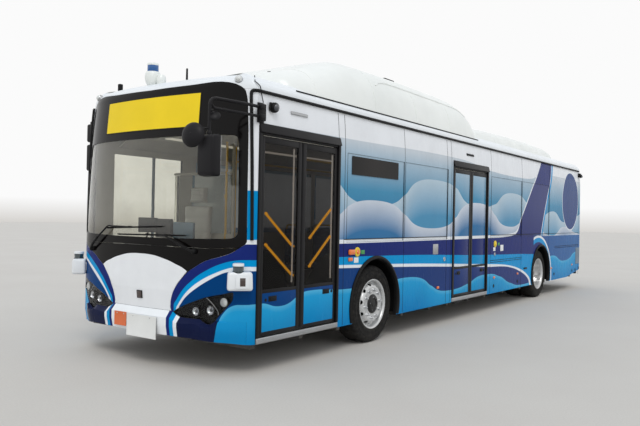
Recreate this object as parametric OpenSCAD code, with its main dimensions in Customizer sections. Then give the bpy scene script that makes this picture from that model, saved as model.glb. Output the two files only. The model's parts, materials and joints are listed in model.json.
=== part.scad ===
// Airport passenger bus, low floor, two double doors on its left side.
// Millimetres. X runs forward, Y to the bus's left (door side), Z up from the ground.

/* [Body] */
// Overall body length, bumper to bumper
body_length = 12000; // [10000:50:13000]
// Body width
body_width = 2500; // [2400:10:2600]
// Length of the mirrors' reach ahead of the body
mirror_reach = 400; // [300:10:800]
// Height of the side walls' top, where the roof cove starts
wall_top = 2708; // [2600:1:2800]
// Radius of the roof cove
cove = 225; // [100:5:300]
// Lower edge of the side skirts
skirt = 288; // [250:1:350]
// Thickness of walls and roof
wall = 50; // [30:1:80]
// Radius of the front's bulge in plan
bulge = 5500; // [3000:100:9000]
// Where the front corners' curve leaves the sides, behind the front face
corner_back = 339; // [300:1:500]
// Where it meets the front's bulge, from the centre plane
corner_in = 650; // [500:10:900]
// Radius of the windscreen's lean in side view
lean = 17500; // [8000:100:25000]
// Radius of the side walls' inward curve above the windows
tumble = 3650; // [3000:50:6000]

/* [Axles and wheels] */
// Front axle behind the front face
front_overhang = 2570; // [2300:5:2800]
// Rear axle behind the front face
rear_axle_at = 8988; // [8500:5:9200]
// Tyre radius, which is also the hub height
tyre_r = 465; // [450:1:490]
// Tyre width
tyre_w = 275; // [250:5:315]
// Rim flange radius
rim_r = 300; // [280:1:310]
// Outer face of the tyres from the centre plane
tyre_out = 1202; // [1150:1:1230]
// King pins from the centre plane
king_y = 960; // [900:5:1000]
// Radius of the arch openings
arch_r = 548; // [530:1:620]

/* [Doors] */
// Front door frame, front edge behind the front face
door_a = 339; // [300:1:500]
// Mid door frame, front edge behind the front face
door_b = 4745; // [4500:1:5000]
// Width of a door frame
door_w = 1386; // [1200:1:1500]
// Top of the door frames
door_top = 2362; // [2200:1:2400]
// Thickness of a door leaf
leaf_t = 36; // [25:1:45]
// Door hinge shafts from the jamb
shaft_in = 42; // [35:1:60]

/* [Floor and roof] */
// Top of the low floor
floor_z = 345; // [320:1:400]
// Top of the front roof pod
pod_top = 3420; // [3300:5:3500]
// Half width of the roof pods
pod_half = 880; // [700:5:1000]

/* [Hidden] */
front = body_length / 2 - mirror_reach / 2;
rear = front - body_length;
half = body_width / 2;
roof_z = wall_top + cove;
axle_f = front - front_overhang;
axle_r = front - rear_axle_at;
black = [0.07, 0.07, 0.08];
white = [0.92, 0.93, 0.94];
steel = [0.45, 0.46, 0.48];
glassy = [0.35, 0.42, 0.45, 0.35];
$fn = 96;

function at(d) = front - d;

// Shared outlines
module box(x0, x1, y0, y1, z0, z1) {
  translate([min(x0, x1), min(y0, y1), min(z0, z1)]) cube([abs(x1 - x0), abs(y1 - y0), abs(z1 - z0)]);
}

// The body's outline in plan, as points with their outward normals, from the right side round the front to the left.
bulge_x = -(bulge - sqrt(pow(bulge, 2) - pow(corner_in, 2)));
bulge_t = [-corner_in / bulge, sqrt(1 - pow(corner_in / bulge, 2))];
reach = (half - corner_in) / bulge_t[1];
turn_x = bulge_x + reach * bulge_t[0];
c0 = [-corner_back, half];
c1 = c0 + [(turn_x + corner_back) * 0.62, 0];
c3 = [bulge_x, corner_in];
c2 = c3 + bulge_t * reach * 0.58;
function bez(t) = pow(1 - t, 3) * c0 + 3 * pow(1 - t, 2) * t * c1 + 3 * (1 - t) * t * t * c2 + pow(t, 3) * c3;
function slope(t) = 3 * pow(1 - t, 2) * (c1 - c0) + 6 * (1 - t) * t * (c2 - c1) + 3 * t * t * (c3 - c2);
function on_corner(t) = let (p = bez(t), d = slope(t) / norm(slope(t))) [front + p[0], p[1], -d[1], d[0]];
function on_bulge(y) = [front - bulge + sqrt(bulge * bulge - y * y), y, sqrt(bulge * bulge - y * y) / bulge, y / bulge];
function flip(p) = [p[0], -p[1], p[2], -p[3]];
corner_n = 16;
bulge_n = 13;
front_curve = concat(
  [for (i = [0:corner_n]) flip(on_corner(i / corner_n))],
  [for (i = [1:bulge_n - 1]) on_bulge(-corner_in + 2 * corner_in * i / bulge_n)],
  [for (i = [corner_n:-1:0]) on_corner(i / corner_n)]);
rear_r = 120;
rear_left = [for (i = [0:8]) let (a = 90 + 90 * i / 8)
  [rear + rear_r + rear_r * cos(a), half - rear_r + rear_r * sin(a), cos(a), sin(a)]];
rear_right = [for (i = [8:-1:0]) flip(rear_left[i])];

// How far the skin lies inside that outline at a height
function lean_in(z) = z < 1000 ? 0 : (z - 1000) * (z - 1000) / (2 * lean);
function tumble_in(z) = z < 2240 ? 0 : tumble - sqrt(tumble * tumble - (z - 2240) * (z - 2240));
function ease(v) = let (u = max(0, min(1, v))) u * u * (3 - 2 * u);
function bumper_out(z) = z > 760 ? 0 : z > 565 ? 20 * (760 - z) / 195 : z > 500 ? 20 - 50 * (565 - z) / 65 : z > 420 ? -30 : -30 + 20 * (420 - z) / 90;
function inset(p, z) = let (a = acos(max(-1, min(1, p[2]))), w = ease((a - 20) / 70))
  lean_in(z) * (1 - w) + tumble_in(z) * w + bumper_out(z) * (1 - w);
function place(p, z, i) = [p[0] - p[2] * (inset(p, z) + i), p[1] - p[3] * (inset(p, z) + i), z];

// The flat top's outline, point by point beside the body's outline
d0 = [-corner_back, half - cove];
d3 = c3 - cove * [bulge_t[1], -bulge_t[0]];
top_reach = (half - cove - d3[1]) / bulge_t[1];
d1 = d0 + [(d3[0] + top_reach * bulge_t[0] + corner_back) * 0.62, 0];
d2 = d3 + bulge_t * top_reach * 0.58;
function top_corner(t) = [front, 0] + pow(1 - t, 3) * d0 + 3 * pow(1 - t, 2) * t * d1
  + 3 * (1 - t) * t * t * d2 + pow(t, 3) * d3;
function top_rear(i) = let (a = 90 + 90 * i / 8) [rear + cove + 40 + 40 * cos(a), half - cove - 40 + 40 * sin(a)];
top_curve = concat(
  [for (i = [0:corner_n]) let (q = top_corner(i / corner_n)) [q[0], -q[1]]],
  [for (i = [1:bulge_n - 1]) let (p = on_bulge(-corner_in + 2 * corner_in * i / bulge_n)) [p[0] - p[2] * cove, p[1] - p[3] * cove]],
  [for (i = [corner_n:-1:0]) top_corner(i / corner_n)],
  [for (i = [0:8]) top_rear(i)],
  [for (i = [8:-1:0]) let (q = top_rear(i)) [q[0], -q[1]]]);
ring_curve = concat(front_curve, rear_left, rear_right);
function cove_place(k, i, a) = let (p = ring_curve[k], m = inset(p, wall_top), f = 1 - cos(a), q = top_curve[k])
  [(p[0] - p[2] * i) * (1 - f) + q[0] * f - p[2] * m, (p[1] - p[3] * i) * (1 - f) + q[1] * f - p[3] * m,
   wall_top + (cove - i) * sin(a)];

// A closed skin between two grids of points, on the cells that keep says. A capped one has a flat top: cap holds
// the pairs of columns that face each other across it, from front to rear.
module skin(outer, inner, keep, closed = false, cap = []) {
  n = len(outer);
  m = len(outer[0]);
  cells = closed ? n : n - 1;
  function a(k, j) = (k % n) * m + j;
  function b(k, j) = n * m + (k % n) * m + j;
  t = m - 1;
  function on(k, j) = cap != [] && j == m - 1 ? true : j >= 0 && j < m - 1 && (closed || (k >= 0 && k < cells)) && keep[(k + cells) % cells][j];
  polyhedron(points = concat([for (r = outer) each r], [for (r = inner) each r]), faces = [
    for (k = [0:cells - 1], j = [0:m - 2]) if (on(k, j)) each concat(
      [[a(k, j), a(k, j + 1), a(k + 1, j + 1)], [a(k, j), a(k + 1, j + 1), a(k + 1, j)],
       [b(k, j), b(k + 1, j + 1), b(k, j + 1)], [b(k, j), b(k + 1, j), b(k + 1, j + 1)]],
      on(k, j - 1) ? [] : [[a(k, j), a(k + 1, j), b(k + 1, j)], [a(k, j), b(k + 1, j), b(k, j)]],
      on(k, j + 1) ? [] : [[a(k + 1, j + 1), a(k, j + 1), b(k, j + 1)], [a(k + 1, j + 1), b(k, j + 1), b(k + 1, j + 1)]],
      on(k - 1, j) ? [] : [[a(k, j + 1), a(k, j), b(k, j)], [a(k, j + 1), b(k, j), b(k, j + 1)]],
      on(k + 1, j) ? [] : [[a(k + 1, j), a(k + 1, j + 1), b(k + 1, j + 1)], [a(k + 1, j), b(k + 1, j + 1), b(k + 1, j)]]),
    for (i = [0:1:len(cap) - 2]) let (p = cap[i], q = cap[i + 1]) each
      [[a(p[0], t), a(p[1], t), a(q[1], t)], [a(p[0], t), a(q[1], t), a(q[0], t)],
       [b(p[0], t), b(q[0], t), b(q[1], t)], [b(p[0], t), b(q[1], t), b(p[1], t)]]]);
}

module plan() {
  polygon([for (p = concat(front_curve, rear_left, rear_right)) [p[0], p[1]]]);
}

module cross_section(t) {
  difference() {
    square_wall(0);
    square_wall(t);
  }
}

module square_wall(t) {
  translate([-100, 0]) square([half - t + 100, 2240]);
  intersection() {
    translate([half - tumble, 2240]) circle(tumble - t, $fn = 1440);
    translate([-100, 2239]) square([half + 200, wall_top - 2239]);
  }
}

module lying(y0, y1) {
  translate([0, y1, 0]) rotate([90, 0, 0]) linear_extrude(y1 - y0) children();
}

module drum(x, y0, y1, z, r) {
  translate([x, y1, z]) rotate([90, 0, 0]) cylinder(h = y1 - y0, r = r);
}

module rod(a, b, r) {
  d = b - a;
  l = norm(d);
  translate(a) rotate([0, acos(d[2] / l), atan2(d[1], d[0])]) cylinder(h = l, r = r);
}

// Windows: start and end behind the front face, bottom and top
left_windows = [[1880, 3222, 1225, 2240], [3262, 4571, 1225, 2240], [6277, 7788, 1225, 2240],
                [7828, 9482, 1225, 2240]];
right_windows = [[560, 1700, 1000, 2240], [1880, 3222, 1225, 2240], [3262, 4571, 1225, 2240],
                 [4611, 6237, 1225, 2240], [6277, 7788, 1225, 2240], [7828, 9482, 1225, 2240]];
rebate = 14;
land = 32;

module window_cuts(list, s) {
  for (w = list) {
    box(at(w[0]), at(w[1]), s * (half - rebate), s * (half + 5), w[2], w[3]);
    box(at(w[0] + land), at(w[1] - land), s * (half - 80), s * (half + 5), w[2] + land, w[3] - land);
  }
}

module window_panes(list, s) {
  for (w = list)
    box(at(w[0] + 3), at(w[1] - 3), s * (half - rebate), s * (half - rebate + 8), w[2] + 3, w[3] - 3);
}

module arch_cuts(s) {
  for (x = [axle_f + 15, axle_r])
    drum(x, s > 0 ? half - 120 : -half - 20, s > 0 ? half + 20 : -half + 120, tyre_r, arch_r);
}

module departure_cut() {
  lying(-half - 20, half + 20)
    polygon([[at(10845), 0], [at(10845), skirt], [rear - 50, 424], [rear - 50, 0]]);
}

// Shell of the body
module wall_blank(x1) {
  intersection() {
    translate([rear + rear_r, 0, 0]) rotate([90, 0, 90]) linear_extrude(x1 - rear - rear_r)
      cross_section(wall);
    box(rear, front, 1000, half + 10, skirt, wall_top);
  }
}

module wall_left() {
  color(white) difference() {
    wall_blank(at(corner_back));
    window_cuts(left_windows, 1);
    arch_cuts(1);
    departure_cut();
    for (d = [door_a, door_b]) box(at(d - (d == door_a ? 20 : 0)), at(d + door_w), half - 120, half + 20, 0, door_top);
  }
}

module wall_right() {
  color(white) difference() {
    mirror([0, 1, 0]) wall_blank(at(corner_back));
    window_cuts(right_windows, -1);
    arch_cuts(-1);
    departure_cut();
  }
}

module roof_shell() {
  steps = [for (i = [0:9]) 10 * i];
  n = len(ring_curve);
  ks = [0:n - 1];
  half_n = len(front_curve) / 2;
  pairs = concat([for (i = [half_n - 1:-1:0]) [len(front_curve) - 1 - i, i]],
                 [for (i = [0:8]) [len(front_curve) + i, n - 1 - i]]);
  color(white)
    skin([for (k = ks) [for (a = steps) cove_place(k, 0, a)]], [for (k = ks) [for (a = steps) cove_place(k, wall, a)]],
         [for (k = ks) [for (a = steps) true]], true, pairs);
}

// Front skin: columns run round the front, rows up it
mask_rows = [1206, 1240, 1272, 1400, 1550, 1700, 1850, 2000, 2120, 2230, 2262, 2400, 2550, wall_top];
glass_rows = [1243, 1272, 1400, 1550, 1700, 1850, 2000, 2120, 2230, 2259];
bumper_rows = [300, 360, 420, 500, 532, 565, 620, 690, 760, 850, 950, 1080, 1206];
// The bumper's lower edge rises towards the middle
function low_edge(p, z) = z > 300 ? z : 330 - 38 * ease((abs(p[1]) - 700) / 500);
last = len(front_curve) - 1;
pane_in = 6;
open_in = 7;
function on_glass(k, j) = k >= pane_in && k <= last - pane_in && j >= 1 && j <= 10;

module front_mask() {
  color(black) skin(
    [for (p = front_curve) [for (z = mask_rows) place(p, z, 0)]],
    [for (k = [0:last]) [for (j = [0:len(mask_rows) - 1]) place(front_curve[k], mask_rows[j], on_glass(k, j) ? 14 : 44)]],
    [for (k = [0:last - 1]) [for (j = [0:len(mask_rows) - 2])
      !(k >= open_in && k < last - open_in && j >= 2 && j < 9)]]);
}

module windscreen() {
  cols = [for (k = [pane_in:last - pane_in]) front_curve[k]];
  color(glassy) skin([for (p = cols) [for (z = glass_rows) place(p, z, 14.5)]],
    [for (p = cols) [for (z = glass_rows) place(p, z, 22)]], [for (p = cols) [for (z = glass_rows) true]]);
}

module lamp_outline(s, g) {
  polygon([for (p = [[453, 557], [491, 536], [544, 515], [616, 511], [792, 513], [818, 496], [863, 474], [898, 472], [940, 495],
                     [982, 537], [1028, 600], [1089, 673], [1113, 713], [1120, 768], [1113, 790], [997, 762], [863, 731], [697, 672],
                     [553, 612]])
    [s * p[0], p[1]]]);
}

module lamp_prism(s) {
  translate([at(258), 0, 0]) rotate([90, 0, 90]) linear_extrude(270) lamp_outline(s, 0);
}

module front_bumper() {
  color(white) difference() {
    skin([for (p = front_curve) [for (z = bumper_rows) place(p, low_edge(p, z), 0)]],
      [for (p = front_curve) [for (z = bumper_rows) place(p, low_edge(p, z), 40)]],
      [for (p = front_curve) [for (z = bumper_rows) true]]);
    for (s = [-1, 1]) lamp_prism(s);
  }
}

hatch_z = 1232;

module rear_wall() {
  rows = [418, 2240, 2360, 2480, 2600, wall_top];
  color(white) {
    difference() {
      translate([rear, 0, 0]) intersection() {
        translate([-1, 0, 0]) box(0, 61, -half + rear_r, half - rear_r, 418, wall_top);
        rotate([90, 0, 0]) linear_extrude(body_width, center = true)
          polygon(concat([for (z = [300, 2240, 2360, 2480, 2600, wall_top]) [tumble_in(z), z]],
                         [for (z = [wall_top, 2600, 2480, 2360, 2240, 300]) [tumble_in(z) + 50, z]]));
      }
      box(rear - 10, rear + 100, -900, 900, 520, 1262);
      box(rear - 10, rear + rebate, -880, 880, 1420, 2200);
      box(rear - 10, rear + 100, -848, 848, 1452, 2168);
    }
    for (c = [rear_left, rear_right])
      skin([for (p = c) [for (z = rows) place(p, z, 0)]], [for (p = c) [for (z = rows) place(p, z, wall)]],
        [for (p = c) [for (z = rows) true]]);
  }
  color(steel) drum(rear + 24, -900, 900, hatch_z, 8);
}

module rear_hatch() {
  color(white) difference() {
    union() {
      box(rear + 4, rear + 44, -892, 892, 528, hatch_z - 18);
      for (y = [-600, 0, 600]) {
        drum(rear + 24, y - 40, y + 40, hatch_z, 15);
        box(rear + 9, rear + 39, y - 40, y + 40, hatch_z - 30, hatch_z);
      }
    }
    drum(rear + 24, -950, 950, hatch_z, 8.3);
  }
}

module side_windows() {
  color(glassy) {
    window_panes(left_windows, 1);
    window_panes(right_windows, -1);
    box(rear + rebate - 8, rear + rebate, -877, 877, 1423, 2197);
  }
}

// Doors
jamb = 40;
leaf_z0 = floor_z + 12;
leaf_z1 = door_top - 90;
leaf_gap = 12;
leaf_len = (door_w - 2 * jamb - 2 * leaf_gap) / 2 - 4;
leaf_y = half - 8 - leaf_t / 2;

module door_frame(d) {
  color(black) difference() {
    box(at(d), at(d + door_w), half - wall, half, skirt + 12, door_top);
    box(at(d + jamb), at(d + door_w - jamb), half - 120, half + 10, floor_z, leaf_z1 + 10);
  }
  color(steel) for (x = [at(d + jamb + leaf_gap + shaft_in - 12), at(d + door_w - jamb - leaf_gap - shaft_in + 12)]) {
    translate([x, leaf_y, floor_z]) cylinder(h = 42, r = 10);
    translate([x, leaf_y, leaf_z1 - 30]) cylinder(h = 40, r = 10);
  }
}

module leaf(d, s) {
  x0 = s > 0 ? at(d + jamb + leaf_gap) : at(d + door_w - jamb - leaf_gap);
  x1 = x0 - s * leaf_len;
  color(black) difference() {
    box(x0, x1, leaf_y - leaf_t / 2, leaf_y + leaf_t / 2, leaf_z0, leaf_z1);
    box(x0 - s * 55, x1 + s * 45, leaf_y - leaf_t, leaf_y + leaf_t, 797, leaf_z1 - 55);
    box(x0 - s * 45, x1 + s * 35, leaf_y + leaf_t / 2 - 10, leaf_y + leaf_t, 787, leaf_z1 - 45);
    translate([x0 - s * (shaft_in - 12), leaf_y, leaf_z0 - 5]) cylinder(h = 36, r = 10.3);
    translate([x0 - s * (shaft_in - 12), leaf_y, leaf_z1 - 31]) cylinder(h = 36, r = 10.3);
  }
}

module leaf_glass(d, s) {
  x0 = s > 0 ? at(d + jamb + leaf_gap) : at(d + door_w - jamb - leaf_gap);
  x1 = x0 - s * leaf_len;
  color(glassy)
    box(x0 - s * 47, x1 + s * 37, leaf_y + leaf_t / 2 - 10, leaf_y + leaf_t / 2 - 4, 789, leaf_z1 - 47);
}

module door_frame_front() { door_frame(door_a); }
module door_frame_mid() { door_frame(door_b); }
module front_door_leaf_a() { leaf(door_a, 1); }
module front_door_leaf_b() { leaf(door_a, -1); }
module mid_door_leaf_a() { leaf(door_b, 1); }
module mid_door_leaf_b() { leaf(door_b, -1); }
module front_door_glass_a() { leaf_glass(door_a, 1); }
module front_door_glass_b() { leaf_glass(door_a, -1); }
module mid_door_glass_a() { leaf_glass(door_b, 1); }
module mid_door_glass_b() { leaf_glass(door_b, -1); }

// Floor
module wheel_house(x, s, y_in) {
  lying(s > 0 ? y_in : -(half - wall), s > 0 ? half - wall : -y_in) difference() {
    union() {
      translate([x, tyre_r]) circle(590);
      translate([x - 590, floor_z - 35]) square([1180, tyre_r - floor_z + 35]);
    }
    translate([x - 700, -400]) square([1400, 400 + floor_z - 35]);
    translate([x, tyre_r]) circle(578);
    translate([x - 578, 0]) square([1156, tyre_r]);
  }
  lying(s > 0 ? y_in - 12 : -y_in, s > 0 ? y_in : -y_in + 12) difference() {
    union() {
      translate([x, tyre_r]) circle(590);
      translate([x - 590, floor_z - 35]) square([1180, tyre_r - floor_z + 35]);
    }
    translate([x - 700, -400]) square([1400, 400 + floor_z - 35]);
  }
}

module floor_panel() {
  color([0.35, 0.36, 0.38]) difference() {
    box(at(9800), at(420), -half + wall, half - wall, floor_z - 35, floor_z);
    for (s = [-1, 1]) {
      box(axle_f - 590, axle_f + 590, s * 588, s * half, 0, floor_z + 10);
      box(axle_r - 590, axle_r + 590, s * 568, s * half, 0, floor_z + 10);
    }
    box(at(430), front, 900, half, 0, 1000);
    box(at(430), front, -half, -900, 0, 1000);
  }
}

module wheel_houses() {
  color([0.3, 0.31, 0.33]) for (s = [-1, 1]) {
    wheel_house(axle_f, s, 600);
    wheel_house(axle_r, s, 580);
  }
}

module rear_platform() {
  color([0.35, 0.36, 0.38]) {
    box(at(9835), at(9800), -half + wall, half - wall, floor_z - 35, 1000);
    box(rear + 180, at(9800), -half + wall, half - wall, 1000, 1035);
    box(rear + 62, rear + 181, -half + 170, half - 170, 1000, 1035);
  }
}

module floor_frame() {
  color(steel) {
    for (s = [-1, 1]) box(rear + 300, at(300), s * 390, s * 450, 240, floor_z - 35);
    for (d = [340, 1100, 1800, 3300, 4100, 4700, 5450, 6150, 7000, 7900])
      box(at(d), at(d + 60), -half + wall + 5, half - wall - 5, 240, floor_z - 35);
    for (d = [2060, 2950, 8480, 9400])
      box(at(d), at(d + 60), -560, 560, 240, floor_z - 35);
    for (x = [rear + 300, rear + 1440, at(9760)])
      box(x, x + 60, -half + 150, half - 150, 240, floor_z - 35);
    box(rear + 500, at(9900), -600, 600, floor_z - 35, 780);
  }
}

// Roof
module pod(profile, w, r) {
  intersection() {
    lying(-w, w) polygon(profile);
    translate([rear, 0, 0]) rotate([90, 0, 90]) linear_extrude(body_length) union() {
      translate([-w, 0]) square([2 * w, pod_top - r]);
      for (s = [-1, 1]) translate([s * (w - r), pod_top - r]) circle(r);
      translate([-w + r, 0]) square([2 * (w - r), pod_top]);
    }
  }
}

module roof_pod_front() {
  color(white) pod([[at(880), roof_z], [at(1000), roof_z + 60], [at(1470), 3215], [at(2160), 3360],
                    [at(2800), 3405], [at(3500), pod_top], [at(4400), pod_top - 8], [at(5230), 3390],
                    [at(5600), 3290], [at(5760), 3200], [at(5850), roof_z]], pod_half, 120);
}

// The rear pod stands this part of the front one's height over the roof
rear_pod_part = 0.37;
function rear_pod_z(drop) = roof_z + rear_pod_part * (pod_top - roof_z) * (1 - drop);

module roof_pod_rear() {
  fall = pod_top - rear_pod_z(0);
  color(white) translate([0, 0, -fall]) pod([[at(5880), roof_z + fall], [at(5880), rear_pod_z(0.45) + fall],
                    [at(7630), rear_pod_z(0.04) + fall], [at(9830), rear_pod_z(0.13) + fall],
                    [at(10200), rear_pod_z(0.45) + fall], [at(10350), roof_z + fall]], pod_half, 120);
}

// A strip that lies on the left wall's outside, from one height to another
module on_side(x0, x1, z0, z1, a, b) {
  steps = [for (i = [0:6]) z0 + (z1 - z0) * i / 6];
  translate([x0, 0, 0]) rotate([90, 0, 90]) linear_extrude(x1 - x0)
    polygon(concat([for (z = steps) [half - tumble_in(z) + a + 0.06, z]],
                   [[half - tumble_in(z1) + b, z1], [half - tumble_in(z0) + b, z0]]));
}

module rain_gutters() {
  color(black) for (s = [0, 1]) mirror([0, s, 0]) on_side(rear + 158, at(500), wall_top - 40, wall_top, 0, 22);
}

module arch_lips() {
  color(black) for (s = [-1, 1], x = [axle_f + 15, axle_r])
    lying(s > 0 ? half : -half - 18, s > 0 ? half + 18 : -half) difference() {
      translate([x, tyre_r]) circle(arch_r + 38);
      translate([x, tyre_r]) circle(arch_r);
      translate([x - 700, -300]) square([1400, 300 + skirt]);
    }
}

// Lamps, wipers, mirrors and sensors
module lamp_housing() {
  cols = [for (k = [last - corner_n - 4:last]) front_curve[k]];
  rows = [440, 500, 532, 565, 620, 690, 760, 850];
  color(black) intersection() {
    lamp_prism(1);
    skin([for (p = cols) [for (z = rows) place(p, z, 10)]], [for (p = cols) [for (z = rows) place(p, z, 39)]],
      [for (p = cols) [for (z = rows) true]]);
  }
}

module lamps() {
  for (s = [0, 1]) mirror([0, s, 0]) lamp_housing();
  color([0.6, 0.05, 0.05]) for (s = [-1, 1], z = [1340, 1500, 1660]) translate([rear - 12, s * 1010, z])
    rotate([0, 90, 0]) cylinder(h = 12, r = 60);
}

module wipers() {
  color(black) {
    for (y = [-800, 800]) translate([at(58), y, 1150]) rotate([0, 90, 0]) cylinder(h = 62, r = 26);
    rod([at(12), 800, 1150], [at(-22), 460, 1303], 12);
    translate([at(-22), 460, 1303]) sphere(14);
    rod([at(-22), 460, 1303], [at(-30), -280, 1318], 11);
    rod([at(12), -800, 1150], [at(-12), -371, 1370], 12);
    translate([at(-12), -371, 1370]) sphere(14);
    rod([at(-12), -371, 1370], [at(55), -1000, 1395], 11);
  }
}

module outside() {
  difference() {
    children();
    translate([0, 0, 300]) linear_extrude(2600) plan();
  }
}

module mirror_left() {
  color(black) {
    on_side(at(383), at(310), 2400, 2560, 0, 50);
    rod([at(340), half + 20, 2530], [at(-270), 1200, 2530], 15);
    rod([at(340), half + 20, 2440], [at(-270), 1200, 2440], 15);
    translate([at(-270), 1200, 2530]) sphere(18);
    rod([at(-270), 1200, 2530], [at(-270), 1200, 2170], 15);
    box(at(-215), at(-325), 1090, 1310, 1840, 2215);
    translate([at(-355), 1100, 2200]) rotate([0, 90, 0]) cylinder(h = 45, r = 112);
    rod([at(-355), 1100, 2230], [at(-270), 1200, 2290], 12);
  }
}

module mirror_right() {
  color(black) {
    mirror([0, 1, 0]) on_side(at(383), at(310), 2400, 2560, 0, 50);
    rod([at(340), -half - 40, 2530], [at(260), -half - 60, 2530], 15);
    box(at(330), at(210), -half - 130, -half - 18, 2270, 2535);
    box(at(330), at(210), -half - 130, -half - 18, 1985, 2255);
    rod([at(270), -half - 70, 2200], [at(270), -half - 70, 2300], 15);
  }
}

// A sensor case on each front corner looks 45 degrees outwards, with a round scanner on top
module sensor_pods() {
  for (s = [-1, 1]) {
    color(white) outside() corner_turn(s) {
      hull() {
        translate([-165, -104, 815]) cube([165, 208, 150]);
        translate([-165, -128, 838]) cube([165, 256, 110]);
        translate([-152, -108, 960]) cube([140, 216, 28]);
      }
      translate([-260, -75, 842]) cube([130, 150, 108]);
    }
    color([0.1, 0.25, 0.3]) corner_turn(s) translate([-68, -16 * s, 988]) cylinder(h = 52, r = 52);
    color(white) corner_turn(s) translate([-68, -16 * s, 1040]) cylinder(h = 30, r1 = 54, r2 = 48);
  }
}

module corner_turn(s) {
  translate([at(100), s * (half + 15), 0]) rotate([0, 0, s * 45]) children();
}

module roof_beacon() {
  translate([at(330), -200, roof_z]) {
    color(white) rotate_extrude() polygon([[0, 0], [46, 0], [46, 14], [60, 30], [82, 62], [86, 88], [80, 98], [0, 98]]);
    color([0.1, 0.3, 0.7]) translate([0, 0, 98]) cylinder(h = 44, r = 58);
    color(white) translate([0, 0, 142]) cylinder(h = 24, r1 = 62, r2 = 56);
  }
}

// Cabin
function column(d) = [at(720) + d * sin(25), -600, 1120 - d * cos(25)];

module dashboard() {
  color([0.1, 0.1, 0.11]) {
    translate([0, 0, 850]) linear_extrude(300) polygon(concat([[at(430), 500], [at(430), -1050]],
      [for (p = front_curve) if (p[1] > -1050 && p[1] < 500) [p[0] - 75 * p[2], p[1] - 75 * p[3]]]));
    box(at(600), at(430), -1050, -150, 850, 1060);
    box(at(600), at(560), -1050, -150, floor_z, 850);
    difference() {
      rod(column(140), column(420), 42);
      rod(column(120), column(200), 24.3);
    }
  }
}

module steering_wheel() {
  color(black) translate([at(720), -600, 1120]) rotate([0, -25, 0]) {
    rotate_extrude() translate([215, 0]) circle(15);
    translate([0, 0, -35]) cylinder(h = 40, r = 55);
    for (a = [90, 210, 330]) rotate([0, 0, a]) translate([40, -14, -14]) cube([170, 28, 16]);
    translate([0, 0, -190]) cylinder(h = 160, r = 24);
  }
}

module seat(x, y, z, w) {
  box(x - 210, x + 210, y - w / 2, y + w / 2, z + 330, z + 420);
  box(x - 250, x - 190, y - w / 2, y + w / 2, z + 330, z + 980);
  box(x - 40, x + 40, y - 40, y + 40, z, z + 330);
}

module seats() {
  color([0.15, 0.2, 0.35]) {
    translate([at(1150), -600, 0]) seat(0, 0, floor_z, 480);
    for (d = [3600, 4350]) seat(at(d), -half + 270, floor_z, 420);
    for (d = [5150, 5900, 6650, 7400]) seat(at(d), -half + 270, floor_z, 420);
    for (d = [6800, 7500]) seat(at(d), half - 270, floor_z, 420);
    for (k = [-2:2]) seat(rear + 1300, k * (half - 350) / 2, 1035, 420);
  }
}

module grab_rails() {
  color([0.85, 0.75, 0.1]) {
    for (s = [-1, 1]) rod([at(1900), s * 520, 2200], [at(9600), s * 520, 2200], 16);
    for (d = [1950, 4200, 6600, 9550], s = [-1, 1])
      rod([at(d), s * 520, floor_z], [at(d), s * 520, roof_z - wall], 16);
    rod([at(1500), -250, floor_z], [at(1500), -250, roof_z - wall], 16);
  }
}

// Running gear
module front_axle() {
  color(steel) {
    box(axle_f - 60, axle_f + 60, -800, 800, 165, 228);
    for (s = [-1, 1]) box(axle_f - 50, axle_f + 50, s * 390, s * 450, 227, 240);
    for (s = [-1, 1]) {
      box(axle_f - 45, axle_f + 45, s * 800, s * 1000, 235, 285);
      box(axle_f - 45, axle_f + 45, s * 740, s * 800, 165, 285);
      translate([axle_f, s * king_y, 285]) cylinder(h = 320, r = 24);
    }
  }
}

module knuckle(s) {
  color(steel) difference() {
    union() {
      translate([axle_f, s * king_y, 285.4]) cylinder(h = 300, r = 58);
      drum(axle_f, s > 0 ? king_y : -1130, s > 0 ? 1130 : -king_y, tyre_r, 45);
      drum(axle_f, s > 0 ? king_y + 40 : -king_y - 62, s > 0 ? king_y + 62 : -king_y - 40, tyre_r, 170);
    }
    translate([axle_f, s * king_y, 200]) cylinder(h = 500, r = 24.4);
  }
}

module knuckle_left() { knuckle(1); }
module knuckle_right() { knuckle(-1); }

module tyre(x, s, out) {
  color(black) translate([x, s * out, tyre_r]) rotate([s * 90, 0, 0]) rotate_extrude() difference() {
    polygon([[rim_r - 9.5, 13], [rim_r + 1, 6.8], [rim_r + 8, 0], [rim_r + 24, -4], [420, -2], [452, 14],
             [tyre_r, 40], [tyre_r, tyre_w - 40], [452, tyre_w - 14], [420, tyre_w + 2], [rim_r + 24, tyre_w + 4],
             [rim_r + 8, tyre_w], [rim_r + 1, tyre_w - 6.8], [rim_r - 9.5, tyre_w - 13]]);
    polygon([[rim_r - 20, 40], [rim_r + 10, 34], [rim_r + 30, 16], [415, 16], [445, 30], [448, 60],
             [448, tyre_w - 60], [445, tyre_w - 30], [415, tyre_w - 16], [rim_r + 30, tyre_w - 16],
             [rim_r + 10, tyre_w - 34], [rim_r - 20, tyre_w - 40]]);
  }
}

module rim(x, s, out, joint, face) {
  t = joint > face ? 12 : -12;
  color([0.75, 0.76, 0.78]) translate([x, s * out, tyre_r]) rotate([s * 90, 0, 0]) difference() {
    rotate_extrude() polygon(joint > face
      ? concat(rim_front, [[rim_r - 36, joint - 10], [216, face], [100, face], [100, face + t],
                           [210, face + t], [rim_r - 36, joint + 12]], rim_back)
      : concat(rim_front, [[rim_r - 36, joint - 12], [210, face + t], [100, face + t], [100, face],
                           [216, face], [rim_r - 36, joint + 10]], rim_back));
    for (k = [0:9]) rotate([0, 0, 36 * k]) translate([240, 0, min(joint, face) - 40])
      cylinder(h = abs(joint - face) + 80, r = 20);
  }
}

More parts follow.
